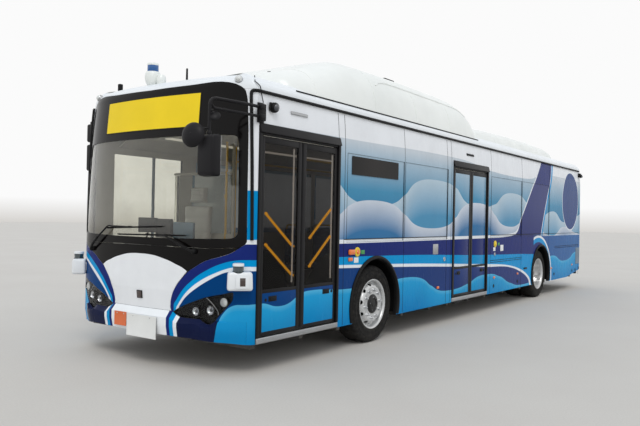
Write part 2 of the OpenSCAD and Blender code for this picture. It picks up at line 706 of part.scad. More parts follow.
rim_front = [[rim_r, 6], [rim_r, 0], [rim_r - 8, 0], [rim_r - 22, 12], [rim_r - 30, 26], [rim_r - 36, 42]];
rim_back = [[rim_r - 36, tyre_w - 42], [rim_r - 30, tyre_w - 26], [rim_r - 22, tyre_w - 12],
            [rim_r - 8, tyre_w], [rim_r, tyre_w], [rim_r, tyre_w - 6], [rim_r - 10, tyre_w - 12],
            [rim_r - 10, tyre_w - 46], [rim_r - 25, tyre_w - 62], [rim_r - 25, 62], [rim_r - 10, 46],
            [rim_r - 10, 12]];

module nuts(x, s, y, n) {
  for (k = [0:n - 1]) translate([x + 168 * sin(360 * k / n), 0, tyre_r + 168 * cos(360 * k / n)])
    drum(0, s > 0 ? y : -y - 26, s > 0 ? y + 26 : -y, 0, 15);
}

module front_rim(s) {
  rim(axle_f, s, tyre_out, 110, 5);
  color([0.3, 0.3, 0.32]) difference() {
    union() {
      drum(axle_f, s > 0 ? tyre_out - 150 : -tyre_out - 4, s > 0 ? tyre_out + 4 : -tyre_out + 150, tyre_r, 112);
      nuts(axle_f, s, tyre_out - 6, 10);
    }
    drum(axle_f, s > 0 ? tyre_out - 200 : -tyre_out + 60, s > 0 ? tyre_out - 60 : -tyre_out + 200, tyre_r, 45.4);
  }
}

module rear_rims(s) {
  rim(axle_r, s, tyre_out, tyre_w - 110, tyre_w - 5);
  rim(axle_r, s, tyre_out - 311, 110, 5);
  color([0.3, 0.3, 0.32]) difference() {
    union() {
      drum(axle_r, s > 0 ? 716 : -tyre_out + 200, s > 0 ? tyre_out - 200 : -716, tyre_r, 112);
      drum(axle_r, s > 0 ? tyre_out - 200 : -tyre_out + 110, s > 0 ? tyre_out - 110 : -tyre_out + 200, tyre_r, 90);
      nuts(axle_r, s, tyre_out - 275, 10);
    }
    drum(axle_r, s > 0 ? 600 : -900, s > 0 ? 900 : -600, tyre_r, 70.4);
  }
}

module front_rim_left() { front_rim(1); }
module front_rim_right() { front_rim(-1); }
module front_tyre_left() { tyre(axle_f, 1, tyre_out); }
module front_tyre_right() { tyre(axle_f, -1, tyre_out); }
module rear_rims_left() { rear_rims(1); }
module rear_rims_right() { rear_rims(-1); }
module rear_tyres_left() { tyre(axle_r, 1, tyre_out); tyre(axle_r, 1, tyre_out - 311); }
module rear_tyres_right() { tyre(axle_r, -1, tyre_out); tyre(axle_r, -1, tyre_out - 311); }

module rear_axle() {
  color(steel) {
    box(axle_r - 70, axle_r + 70, -606, 606, 160, 232);
    for (s = [-1, 1]) box(axle_r - 60, axle_r + 60, s * 390, s * 450, 231, 240);
    for (s = [-1, 1]) box(axle_r - 80, axle_r + 80, s * 586, s * 690, 232, 560);
    for (s = [-1, 1]) drum(axle_r, s > 0 ? 690 : -880, s > 0 ? 880 : -690, tyre_r, 70);
  }
}

floor_frame();
floor_panel();
wheel_houses();
rear_platform();
wall_left();
wall_right();
roof_shell();
front_mask();
front_bumper();
rear_wall();
rear_hatch();
windscreen();
side_windows();
door_frame_front();
door_frame_mid();
front_door_leaf_a();
front_door_leaf_b();
mid_door_leaf_a();
mid_door_leaf_b();
front_door_glass_a();
front_door_glass_b();
mid_door_glass_a();
mid_door_glass_b();
roof_pod_front();
roof_pod_rear();
rain_gutters();
arch_lips();
lamps();
wipers();
mirror_left();
mirror_right();
sensor_pods();
roof_beacon();
dashboard();
steering_wheel();
seats();
grab_rails();
front_axle();
rear_axle();
knuckle_left();
knuckle_right();
front_rim_left();
front_rim_right();
front_tyre_left();
front_tyre_right();
rear_rims_left();
rear_rims_right();
rear_tyres_left();
rear_tyres_right();
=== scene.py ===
"""Airport passenger bus: the looks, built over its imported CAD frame.

Metres. X runs forward, Y to the bus's left (door side), Z up from the ground.
Most of the front is laid out flat, as s (length round the skin from its centre) and z, and then laid
on the skin.
"""
import bisect
import json
from math import acos, copysign, cos, degrees, hypot, pi, radians, sin, sqrt, tan

import bpy
from mathutils import Matrix, Vector

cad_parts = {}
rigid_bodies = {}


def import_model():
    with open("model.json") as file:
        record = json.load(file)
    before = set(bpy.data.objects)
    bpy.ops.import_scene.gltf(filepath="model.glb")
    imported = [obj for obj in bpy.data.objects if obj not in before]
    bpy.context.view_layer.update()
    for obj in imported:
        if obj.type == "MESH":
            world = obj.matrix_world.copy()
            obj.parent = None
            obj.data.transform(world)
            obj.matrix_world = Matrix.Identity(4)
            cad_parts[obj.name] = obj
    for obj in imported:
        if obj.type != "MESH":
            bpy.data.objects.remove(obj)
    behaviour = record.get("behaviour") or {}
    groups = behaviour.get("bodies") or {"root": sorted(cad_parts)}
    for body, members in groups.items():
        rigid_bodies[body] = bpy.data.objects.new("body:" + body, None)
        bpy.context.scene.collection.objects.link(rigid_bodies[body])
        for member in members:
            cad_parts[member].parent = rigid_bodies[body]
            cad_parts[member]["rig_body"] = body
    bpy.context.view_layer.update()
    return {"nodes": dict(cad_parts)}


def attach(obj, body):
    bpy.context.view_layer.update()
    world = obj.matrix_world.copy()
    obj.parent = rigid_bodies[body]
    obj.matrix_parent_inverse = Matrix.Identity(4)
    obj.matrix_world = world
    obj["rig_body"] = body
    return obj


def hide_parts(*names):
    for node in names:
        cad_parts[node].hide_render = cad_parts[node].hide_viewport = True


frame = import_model()

FRONT = 5.8
REAR = -6.2
HALF = 1.25
WALL_TOP = 2.708
COVE = 0.225
CORNER_BACK = 0.339
CORNER_IN = 0.650
BULGE = 5.5
LEAN = 17.5
TUMBLE = 3.65
AXLE_F = 3.230
AXLE_R = -3.188
HUB_Z = 0.465
ARCH_R = 0.548
TUMBLE_FROM = 2.24
SIDE_END = 6.8254
SIDES = (("left", 1), ("right", -1))
DOORS = {"front": 0.339, "mid": 4.745}
# s of the front door opening's two ends
CORNER_S = 1.3644
DOOR_END_S = 2.7504


def milli(*numbers):
    """Points in metres from pairs of thousandths."""
    return [(a / 1000, b / 1000) for a, b in zip(numbers[::2], numbers[1::2])]


def at(d):
    """x of a place that many metres behind the front face."""
    return FRONT - d


# Camera
FOCAL = 672.2129
yaw, pitch, roll = (radians(a) for a in (35.31733081, 0.34242116, 1.14096962))
look = Vector((-cos(yaw) * cos(pitch), -sin(yaw) * cos(pitch), sin(pitch)))
level_right = look.cross(Vector((0, 0, 1))).normalized()
level_up = level_right.cross(look)
right = cos(roll) * level_right + sin(roll) * level_up
up = cos(roll) * level_up - sin(roll) * level_right
lens = bpy.data.cameras.new("camera")
lens.sensor_width = 36
lens.lens = FOCAL / 640 * 36
lens.clip_end = 400
camera = bpy.data.objects.new("camera", lens)
bpy.context.scene.collection.objects.link(camera)
axes = Matrix((right, up, -look)).transposed().to_4x4()
camera.matrix_world = Matrix.Translation((10.28788806, 5.39028168, 1.50741995)) @ axes
bpy.context.scene.camera = camera
bpy.context.scene.view_settings.view_transform = "Standard"


# The body's skin
def ease(v):
    v = min(1.0, max(0.0, v))
    return v * v * (3 - 2 * v)


def spread(points, value):
    """Value of a broken line through points."""
    if value <= points[0][0]:
        return points[0][1]
    for (a, va), (b, vb) in zip(points, points[1:]):
        if value <= b:
            return va + (vb - va) * (value - a) / (b - a)
    return points[-1][1]


def front_arc():
    """Round the front's left half, from the centre to the side: x, y and the outward normal of each point."""
    sink = BULGE - sqrt(BULGE ** 2 - CORNER_IN ** 2)
    tangent = Vector((-CORNER_IN / BULGE, sqrt(1 - (CORNER_IN / BULGE) ** 2)))
    reach = (HALF - CORNER_IN) / tangent.y
    turn_x = -sink + reach * tangent.x
    p0 = Vector((-CORNER_BACK, HALF))
    p1 = p0 + Vector(((turn_x + CORNER_BACK) * 0.62, 0))
    p3 = Vector((-sink, CORNER_IN))
    p2 = p3 + tangent * reach * 0.58
    arc = []
    for k in range(27):
        y = CORNER_IN * k / 26
        nx = sqrt(BULGE ** 2 - y ** 2) / BULGE
        arc.append((FRONT - BULGE + BULGE * nx, y, nx, y / BULGE))
    for k in range(1, 61):
        t = 1 - k / 60
        p = (1 - t) ** 3 * p0 + 3 * (1 - t) ** 2 * t * p1 + 3 * (1 - t) * t * t * p2 + t ** 3 * p3
        d = (1 - t) ** 2 * (p1 - p0) + 2 * (1 - t) * t * (p2 - p1) + t * t * (p3 - p2)
        d.normalize()
        arc.append((FRONT + p.x, p.y, -d.y, d.x))
    return arc


ARC = front_arc()
ARC_S = [0.0]
for a, b in zip(ARC, ARC[1:]):
    ARC_S.append(ARC_S[-1] + hypot(b[0] - a[0], b[1] - a[1]))
ARC_END = ARC_S[-1]
# Edges of the ledge over the bumper, which runs on as a lip under the lamps
LEDGE_TOP = milli(0, 565, 440, 565, 491, 536, 544, 515, 616, 511, 792, 513, 819, 494, 863, 474, 900, 472,
    943, 496, 966, 512, 2000, 512)
LEDGE_LOW = milli(0, 502, 440, 502, 527, 461, 615, 463, 715, 471, 763, 471, 811, 453, 866, 442, 910, 452,
    966, 504, 2000, 504)


def crease(s, z):
    """How far the skin lies inside the front's plain form near the bumper."""
    top, low = spread(LEDGE_TOP, s), spread(LEDGE_LOW, s)
    tuck = 0.020 * max(0, min(1, (0.760 - z) / (0.760 - top)))
    out = 0.050 * max(0, min(1, (top - z) / max(0.004, top - low))) * (1 - ease((s - 0.82) / 0.30))
    return tuck * (1 - ease((s - 0.7) / 0.5)) - out + 0.020 * max(0, min(1, (0.42 - z) / 0.10))


def skin(s, z, out=0.0):
    """Point of the body's skin at a length s round from the front's centre, left positive, and a height."""
    a = abs(s)
    if a >= ARC_END:
        x, y, nx, ny = FRONT - CORNER_BACK - (a - ARC_END), HALF, 0.0, 1.0
    else:
        k = min(len(ARC) - 2, bisect.bisect_right(ARC_S, a) - 1)
        t = (a - ARC_S[k]) / (ARC_S[k + 1] - ARC_S[k])
        x, y, nx, ny = (p + (q - p) * t for p, q in zip(ARC[k], ARC[k + 1]))
        size = hypot(nx, ny)
        nx, ny = nx / size, ny / size
    w = ease((degrees(acos(min(1.0, nx))) - 20) / 70)
    h = min(z, WALL_TOP)
    lean = (h - 1) ** 2 / (2 * LEAN) if h > 1 else 0
    tumble = TUMBLE - sqrt(TUMBLE ** 2 - (h - TUMBLE_FROM) ** 2) if h > TUMBLE_FROM else 0
    inset = lean * (1 - w) + tumble * w + crease(a, z) * (1 - w)
    if z > WALL_TOP:
        inset += COVE - sqrt(max(0, COVE ** 2 - (z - WALL_TOP) ** 2))
    d = out - inset
    return Vector((x + nx * d, copysign(y + ny * d, s), z))


# Modelling
link = bpy.context.scene.collection.objects.link


def keep_place():
    """Applies the place, turn and size of what is selected."""
    bpy.ops.object.transform_apply(location=True, rotation=True, scale=True)


def leave():
    """Back to object mode."""
    bpy.ops.object.mode_set(mode="OBJECT")


def only(*pieces):
    """Selects these objects alone, in object mode."""
    if bpy.context.object and bpy.context.object.mode != "OBJECT":
        leave()
    bpy.ops.object.select_all(action="DESELECT")
    for piece in pieces:
        piece.select_set(True)
    bpy.context.view_layer.objects.active = pieces[0]


def settle(piece, *kinds):
    """Adds modifiers of the kinds given as (type, settings) and applies them."""
    only(piece)
    for kind, settings in kinds:
        m = piece.modifiers.new(kind.lower(), kind)
        for key, value in settings.items():
            setattr(m, key, value)
        bpy.ops.object.modifier_apply(modifier=m.name)
    return piece


def rounded(width, segments=3, angle=35):
    return ("BEVEL", {"width": width, "segments": segments, "limit_method": "ANGLE",
        "angle_limit": radians(angle), "use_clamp_overlap": True})


def edit(piece, *steps):
    """Runs steps in edit mode on all of the piece."""
    only(piece)
    bpy.ops.object.mode_set(mode="EDIT")
    for step in steps:
        bpy.ops.mesh.select_all(action="SELECT")
        step()
    leave()


def outward():
    bpy.ops.mesh.remove_doubles(threshold=1e-5)
    bpy.ops.mesh.normals_make_consistent(inside=False)


def choose(piece, test):
    """Selects the faces whose centre and normal pass the test, and leaves edit mode on."""
    only(piece)
    bpy.ops.object.mode_set(mode="EDIT")
    bpy.ops.mesh.select_mode(type="FACE")
    bpy.ops.mesh.select_all(action="DESELECT")
    leave()
    for face in piece.data.polygons:
        face.select = bool(test(face.center, face.normal))
    bpy.ops.object.mode_set(mode="EDIT")


def pinch(piece, test, size, centre):
    """Scales the faces that pass a test of (centre, normal) about a centre."""
    choose(piece, test)
    bpy.ops.transform.resize(value=size, center_override=centre)
    leave()


def face_up(piece):
    """Turns a flat sheet over if its face looks down."""
    if piece.data.polygons[0].normal.z < 0:
        edit(piece, bpy.ops.mesh.flip_normals)


def finish(piece, name, skin_material, slot=None, angle=30, stands_for=(), body="body"):
    """Names a finished piece, smooths it, gives it its finish and lets it ride."""
    only(piece)
    keep_place()
    piece.name = name
    piece.data.name = name
    if skin_material:
        piece.data.materials.clear()
        for m in skin_material if isinstance(skin_material, (list, tuple)) else [skin_material]:
            piece.data.materials.append(m)
    if angle is not None:
        bpy.ops.object.shade_smooth_by_angle(angle=radians(angle))
    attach(piece, body)
    if stands_for:
        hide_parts(*stands_for)
    return piece


def block(low, high, bevel=0.004, segments=3):
    """A box between two corners with rounded edges."""
    bpy.ops.object.select_all(action="DESELECT")
    centre = [(a + b) / 2 for a, b in zip(low, high)]
    bpy.ops.mesh.primitive_cube_add(size=1, location=centre, scale=[abs(b - a) for a, b in zip(low, high)])
    piece = bpy.context.object
    keep_place()
    if bevel:
        settle(piece, rounded(bevel, segments))
    return piece


def moved(piece, matrix):
    """Moves a piece by a matrix and applies its place."""
    piece.matrix_world = matrix @ piece.matrix_world
    only(piece)
    keep_place()
    return piece


def spun(angle, axis):
    """A turn about an axis, in degrees."""
    return Matrix.Rotation(radians(angle), 4, axis)


def facing(place, way):
    """A matrix that stands at a place with its Z along a direction."""
    return Matrix.Translation(place) @ way.to_track_quat("Z", "Y").to_matrix().to_4x4()


def joined(*pieces):
    only(*pieces)
    if len(pieces) > 1:
        bpy.ops.object.join()
    return bpy.context.object


def bends(points, radius):
    """The route through points with its corners rounded."""
    path = [Vector(points[0])]
    for a, b, c in zip(points, points[1:], points[2:]):
        a, b, c = Vector(a), Vector(b), Vector(c)
        u, v = (a - b).normalized(), (c - b).normalized()
        turn = pi - u.angle(v)
        cut = min(radius * tan(turn / 2), 0.48 * (a - b).length, 0.48 * (c - b).length)
        if turn < 0.02:
            path.append(b)
            continue
        for k in range(9):
            t = k / 8
            path.append((1 - t) ** 2 * (b + u * cut) + 2 * t * (1 - t) * b + t * t * (b + v * cut))
    path.append(Vector(points[-1]))
    return path


def pipe(points, radius, bend=0.05, sides=12):
    """A round bar along points."""
    curve = bpy.data.curves.new("pipe", "CURVE")
    curve.dimensions = "3D"
    curve.bevel_depth = radius
    curve.bevel_resolution = max(1, sides // 4 - 1)
    curve.use_fill_caps = True
    spline = curve.splines.new("POLY")
    path = bends(points, bend)
    spline.points.add(len(path) - 1)
    for p, q in zip(spline.points, path):
        p.co = (*q, 1)
    piece = bpy.data.objects.new("pipe", curve)
    link(piece)
    only(piece)
    bpy.ops.object.convert(target="MESH")
    return bpy.context.object


def turned(profile, centre, axis, steps=40):
    """A round piece, closed at radius 0 or as a ring. The profile holds (radius, distance along the axis)."""
    mesh = bpy.data.meshes.new("turned")
    mesh.from_pydata([(r, 0, h) for r, h in profile], [(k, k + 1) for k in range(len(profile) - 1)], [])
    piece = bpy.data.objects.new("turned", mesh)
    link(piece)
    edit(piece, lambda: bpy.ops.mesh.spin(steps=steps, angle=2 * pi, center=(0, 0, 0), axis=(0, 0, 1)),
        outward)
    swing = Vector((0, 0, 1)).rotation_difference(Vector(axis)).to_matrix().to_4x4()
    return moved(piece, Matrix.Translation(centre) @ swing)


def sphere(centre, radius, squash=(1, 1, 1)):
    bpy.ops.object.select_all(action="DESELECT")
    bpy.ops.mesh.primitive_uv_sphere_add(segments=32, ring_count=16, radius=radius, location=centre,
        scale=squash)
    piece = bpy.context.object
    keep_place()
    return piece


def flowing(points, step=0.03):
    """A smooth line through points, as a list of points about that far apart."""
    pts = [Vector(p) for p in points]
    line = []
    for k in range(len(pts) - 1):
        a, b = pts[k], pts[k + 1]
        before = pts[k - 1] if k else a + (a - b)
        after = pts[k + 2] if k + 2 < len(pts) else b + (b - a)
        n = max(1, round((b - a).length / step))
        ta, tb = (b - before) / 2, (after - a) / 2
        limit = (b - a).length
        ta = ta.normalized() * min(ta.length, limit)
        tb = tb.normalized() * min(tb.length, limit)
        for j in range(n):
            t = j / n
            line.append(a * (2 * t ** 3 - 3 * t * t + 1) + ta * (t ** 3 - 2 * t * t + t) + b
                * (3 * t * t - 2 * t ** 3) + tb * (t ** 3 - t * t))
    line.append(pts[-1])
    return line


def rounded_box(s0, s1, z0, z1, r, n=8):
    """Outline of a rectangle with round corners."""
    loop = []
    for cx, cz, a0 in ((s1 - r, z1 - r, 0), (s0 + r, z1 - r, 90), (s0 + r, z0 + r, 180),
            (s1 - r, z0 + r, 270)):
        for k in range(n + 1):
            a = radians(a0 + 90 * k / n)
            loop.append((cx + r * cos(a), cz + r * sin(a)))
    return loop


def flat(regions):
    """A flat sheet in x and y from regions, each a list of outlines of which the first is the outside."""
    made = []
    for loops in regions:
        curve = bpy.data.curves.new("flat", "CURVE")
        curve.dimensions = "2D"
        curve.fill_mode = "BOTH"
        for loop in loops:
            spline = curve.splines.new("POLY")
            spline.points.add(len(loop) - 1)
            for p, q in zip(spline.points, loop):
                p.co = (q[0], q[1], 0, 1)
            spline.use_cyclic_u = True
        piece = bpy.data.objects.new("flat", curve)
        link(piece)
        only(piece)
        bpy.ops.object.convert(target="MESH")
        made.append(bpy.context.object)
    return joined(*made)


def slices(piece, across, upward):
    """Cuts a flat sheet along lines of constant x and of constant y."""
    xs = [v.co.x for v in piece.data.vertices]
    ys = [v.co.y for v in piece.data.vertices]
    only(piece)
    bpy.ops.object.mode_set(mode="EDIT")
    for values, lows, highs, normal in ((across, min(xs), max(xs), (1, 0, 0)), (upward, min(ys), max(ys),
            (0, 1, 0))):
        for v in values:
            if lows + 0.002 < v < highs - 0.002:
                bpy.ops.mesh.select_all(action="SELECT")
                bpy.ops.mesh.bisect(plane_co=[v * n for n in normal], plane_no=normal)
    bpy.ops.mesh.select_all(action="SELECT")
    bpy.ops.mesh.remove_doubles(threshold=2e-5)
    leave()
    return piece


def steps(a, b, step):
    n = max(1, round((b - a) / step))
    return [a + (b - a) * k / n for k in range(n + 1)]


ROUND_S = [v * sign for sign in (-1, 1) for v in steps(0.0, 0.60, 0.10) + steps(0.64, 1.36, 0.04)]
ROUND_Z = steps(0.30, 2.75, 0.07)


def mirrored(loop):
    return [(-s, z) for s, z in reversed([tuple(p) for p in loop])]


# Finishes
def rgb(r, g, b):
    """A colour as screens write it, 0 to 255, as Blender's linear one."""
    return tuple((c / 255 / 12.92) if c / 255 <= 0.04045 else ((c / 255 + 0.055) / 1.055) ** 2.4
        for c in (r, g, b)) + (1.0,)


def put(tree, kind, inputs=None, **settings):
    """Adds a node. Inputs are values or other nodes' sockets, by name or number."""
    n = tree.nodes.new("ShaderNode" + kind)
    for key, value in settings.items():
        setattr(n, key, value)
    for key, value in (inputs or {}).items():
        if isinstance(value, bpy.types.NodeSocket):
            tree.links.new(value, n.inputs[key])
        else:
            n.inputs[key].default_value = value
    return n


def calc(tree, op, *values, clamp=False):
    return put(tree, "Math", dict(enumerate(values)), operation=op, use_clamp=clamp).outputs[0]


def length(tree, a, b):
    """The length of a line that goes a one way and b across it."""
    return calc(tree, "SQRT", calc(tree, "ADD", calc(tree, "POWER", a, 2.0), calc(tree, "POWER", b, 2.0)))


def blend(tree, factor, a, b):
    """Colour a where factor is 0 and b where it is 1."""
    n = put(tree, "Mix", {0: factor, 6: a, 7: b}, data_type="RGBA")
    return n.outputs[2]


def ramp(tree, value, stops, smooth=False):
    n = put(tree, "ValToRGB", {0: value})
    n.color_ramp.interpolation = "EASE" if smooth else "LINEAR"
    for k, (place, colour) in enumerate(stops):
        if k < 2:
            e = n.color_ramp.elements[k]
            e.position = place
        else:
            e = n.color_ramp.elements.new(place)
        e.color = colour
    return n.outputs[0]


def scaled(tree, value, low, high, to_low=0.0, to_high=1.0):
    return put(tree, "MapRange", {0: value, 1: low, 2: high, 3: to_low, 4: to_high}).outputs[0]


def line(tree, value, points):
    """Height of a smooth line through points over value."""
    xs, ys = [p[0] for p in points], [p[1] for p in points]
    low, high = min(ys), max(ys)
    n = put(tree, "FloatCurve", {1: scaled(tree, value, xs[0], xs[-1])})
    curve = n.mapping.curves[0]
    while len(curve.points) < len(points):
        curve.points.new(0.5, 0.5)
    for p, (x, y) in zip(sorted(curve.points, key=lambda q: q.location[0]), points):
        p.location = ((x - xs[0]) / (xs[-1] - xs[0]), (y - low) / (high - low))
    n.mapping.update()
    return scaled(tree, n.outputs[0], 0.0, 1.0, low, high)


def group(name, inputs, outputs):
    """A shader node group with its inputs as (name, kind, value) and outputs as (name, kind)."""
    tree = bpy.data.node_groups.new(name, "ShaderNodeTree")
    kinds = {"colour": "NodeSocketColor", "value": "NodeSocketFloat", "vector": "NodeSocketVector"}
    for label, kind, value in inputs:
        tree.interface.new_socket(label, in_out="INPUT", socket_type=kinds[kind]).default_value = value
    for label, kind in outputs:
        tree.interface.new_socket(label, in_out="OUTPUT", socket_type=kinds[kind])
    return tree, tree.nodes.new("NodeGroupInput").outputs, tree.nodes.new("NodeGroupOutput").inputs


def use(tree, effect, **inputs):
    n = tree.nodes.new("ShaderNodeGroup")
    n.node_tree = effect
    for key, value in inputs.items():
        key = key.replace("_", " ")
        if isinstance(value, bpy.types.NodeSocket):
            tree.links.new(value, n.inputs[key])
        else:
            n.inputs[key].default_value = value
    return n.outputs


def object_at(tree):
    return put(tree, "TexCoord").outputs["Object"]


def object_place(tree):
    return put(tree, "SeparateXYZ", {0: object_at(tree)}).outputs


def skin_place(tree):
    """The flat place s and z that lay() keeps as a UV map."""
    return put(tree, "SeparateXYZ", {0: put(tree, "UVMap", uv_map="skin").outputs[0]}).outputs


def noise(tree, place, scale, detail, **more):
    return put(tree, "TexNoise", {"Vector": place, "Scale": scale, "Detail": detail, **more}).outputs[0]


def weathering():
    """Road film and small changes of colour: more of it low down, in soft patches."""
    tree, given, result = group("weathering", [("Colour", "colour", (1, 1, 1, 1)),
        ("Roughness", "value", 0.3), ("Film", "value", 0.2), ("Top", "value", 1.0)],
        [("Colour", "colour"), ("Roughness", "value")])
    place = object_at(tree)
    z = put(tree, "SeparateXYZ", {0: place}).outputs[2]
    streak = put(tree, "Mapping", {0: place, 3: (1.0, 1.0, 0.18)}).outputs[0]
    patches = noise(tree, streak, 5.0, 5.0, Roughness=0.6)
    low = scaled(tree, z, given["Top"], 0.15)
    film = calc(tree, "MULTIPLY", calc(tree, "MULTIPLY", low, scaled(tree, patches, 0.30, 0.75)),
        given["Film"])
    fine = noise(tree, place, 3.0, 3.0)
    shade = put(tree, "HueSaturation", {"Value": scaled(tree, fine, 0.3, 0.7, 0.965, 1.03),
        "Color": given["Colour"]})
    colour = blend(tree, film, shade.outputs[0], rgb(150, 143, 132))
    rough = calc(tree, "ADD", given["Roughness"], calc(tree, "MULTIPLY", film, 0.45))
    rough = calc(tree, "ADD", rough, scaled(tree, patches, 0.35, 0.65, -0.02, 0.03), clamp=True)
    tree.links.new(colour, result["Colour"])
    tree.links.new(rough, result["Roughness"])
    return tree


def orange_peel():
    """The slight waviness of sprayed panels or moulded plastic, as a normal."""
    tree, given, result = group("orange_peel", [("Scale", "value", 200.0), ("Depth", "value", 0.05)],
        [("Normal", "vector")])
    place = object_at(tree)
    waves = noise(tree, place, given["Scale"], 2.0)
    bump = put(tree, "Bump", {"Strength": given["Depth"], "Distance": 0.002, "Height": waves}).outputs[0]
    tree.links.new(bump, result["Normal"])
    return tree


WEATHERING = weathering()
ORANGE_PEEL = orange_peel()


def new_material(name):
    mat = bpy.data.materials.new(name)
    mat.use_nodes = True
    return mat, mat.node_tree, mat.node_tree.nodes["Principled BSDF"]


def finish_of(name, colour, rough=0.4, film=0.0, top=1.2, peel=(200.0, 0.05), paint=None, **sockets):
    """A material. paint(tree) may return the colour's socket. Other values go on the shader's own sockets."""
    mat, tree, bsdf = new_material(name)
    source = paint(tree) if paint else colour
    worn = use(tree, WEATHERING, Colour=source, Roughness=rough, Film=film, Top=top)
    tree.links.new(worn["Colour"], bsdf.inputs["Base Color"])
    tree.links.new(worn["Roughness"], bsdf.inputs["Roughness"])
    if peel:
        tree.links.new(use(tree, ORANGE_PEEL, Scale=peel[0], Depth=peel[1])["Normal"],
            bsdf.inputs["Normal"])
    for key, value in sockets.items():
        bsdf.inputs[key.replace("_", " ")].default_value = value
    mat.diffuse_color = colour
    return mat


def glowing(mat, colour, strength):
    """Lets a material give light of its own."""
    sockets = mat.node_tree.nodes["Principled BSDF"].inputs
    sockets["Emission Color"].default_value = colour
    sockets["Emission Strength"].default_value = strength


# Paints and other finishes
WHITE = rgb(235, 237, 240)
PALE = rgb(232, 236, 240)
NAVY = rgb(26, 42, 112)
CYAN = rgb(0, 148, 210)
DEEP_BLUE = rgb(1, 62, 120)
LOW_NAVY = rgb(18, 27, 62)


def over(tree, value, edge, soft=0.0025):
    """1 where value is above edge, 0 below, with a soft step."""
    return scaled(tree, calc(tree, "SUBTRACT", value, edge), -soft, soft)


# Edges of the stripes, (s, z). The first list of each is the front up to the corner, the second is the side.
NAVY_TOP = (milli(420, 563, 427, 642, 438, 691, 469, 758, 520, 831, 581, 895, 651, 959, 730, 1007, 805,
    1050, 878, 1081, 957, 1103, 1049, 1130, 1114, 1155, 1168, 1188, 1214, 1218, 1256, 1239, 1400, 1239),
    milli(1200, 1239, 1500, 1236, 2750, 1215, 5000, 1214, 7200, 1216, 8100, 1228, 8500, 1262, 8800, 1520,
    9100, 1800, 9400, 2090, 9700, 2380, 10000, 2660, 10200, 2860, 13300, 2900))
NAVY_LOW = (milli(455, 500, 467, 578, 469, 629, 508, 681, 554, 741, 615, 809, 694, 874, 770, 930, 862, 982,
    950, 1025, 1034, 1056, 1115, 1078, 1209, 1089, 1400, 1090), milli(1200, 1090, 1500, 1087, 2750, 1066,
    4500, 1030, 6850, 948, 7250, 938, 8100, 916, 8800, 900, 9400, 878, 10200, 860, 13300, 600))
CYAN_LOW = (milli(490, 500, 502, 599, 531, 642, 571, 694, 626, 754, 695, 814, 772, 867, 864, 919, 952, 959,
    1036, 993, 1117, 1017, 1234, 1028, 1400, 1028), milli(1200, 1028, 1500, 1022, 2750, 977, 4500, 915,
    6860, 802, 7250, 784, 7900, 747, 8350, 701, 8800, 622, 9100, 537, 9350, 420, 9600, 220, 13300, 200))
WHITE_LOW = (milli(530, 500, 538, 614, 562, 645, 607, 697, 667, 749, 735, 797, 810, 845, 900, 897, 986, 941,
    1061, 971, 1133, 985, 1250, 991, 1400, 988), milli(1200, 988, 1500, 984, 2750, 943, 4500, 875, 6860,
    758, 7250, 738, 7900, 715, 8350, 669, 8750, 591, 9050, 506, 9300, 380, 9500, 180, 13300, 160))
# Tops of the rolling forms over the belt, near and far, and below the stripes
FAR_HILLS = milli(1200, 1950, 1900, 2020, 2700, 1900, 3500, 1660, 4300, 1820, 5100, 2060, 5900, 1980, 6700,
    1720, 7500, 1780, 8300, 2000, 9100, 1860, 10000, 1620, 10800, 1720, 11600, 1500, 12400, 1600, 13300,
    1800)
NEAR_HILLS = milli(1200, 1500, 1900, 1420, 2700, 1520, 3500, 1720, 4300, 1560, 5100, 1380, 5900, 1540, 6700,
    1780, 7500, 1600, 8300, 1400, 9100, 1520, 10000, 1360, 10800, 1220, 11600, 1400, 12400, 1280, 13300,
    1200)
WAVES = milli(1200, 672, 1450, 672, 1750, 620, 2200, 735, 2900, 700, 3600, 700, 4400, 740, 5100, 580, 5700,
    470, 6400, 520, 7100, 620, 7700, 560, 8300, 400, 9000, 330, 10000, 500, 10800, 800, 11600, 660, 12400,
    800, 13300, 950)
CORNER_WAVE = milli(930, 200, 975, 400, 1000, 510, 1050, 592, 1110, 648, 1180, 672, 1600, 672)
DISC = (12.10, 1.97, 0.65)


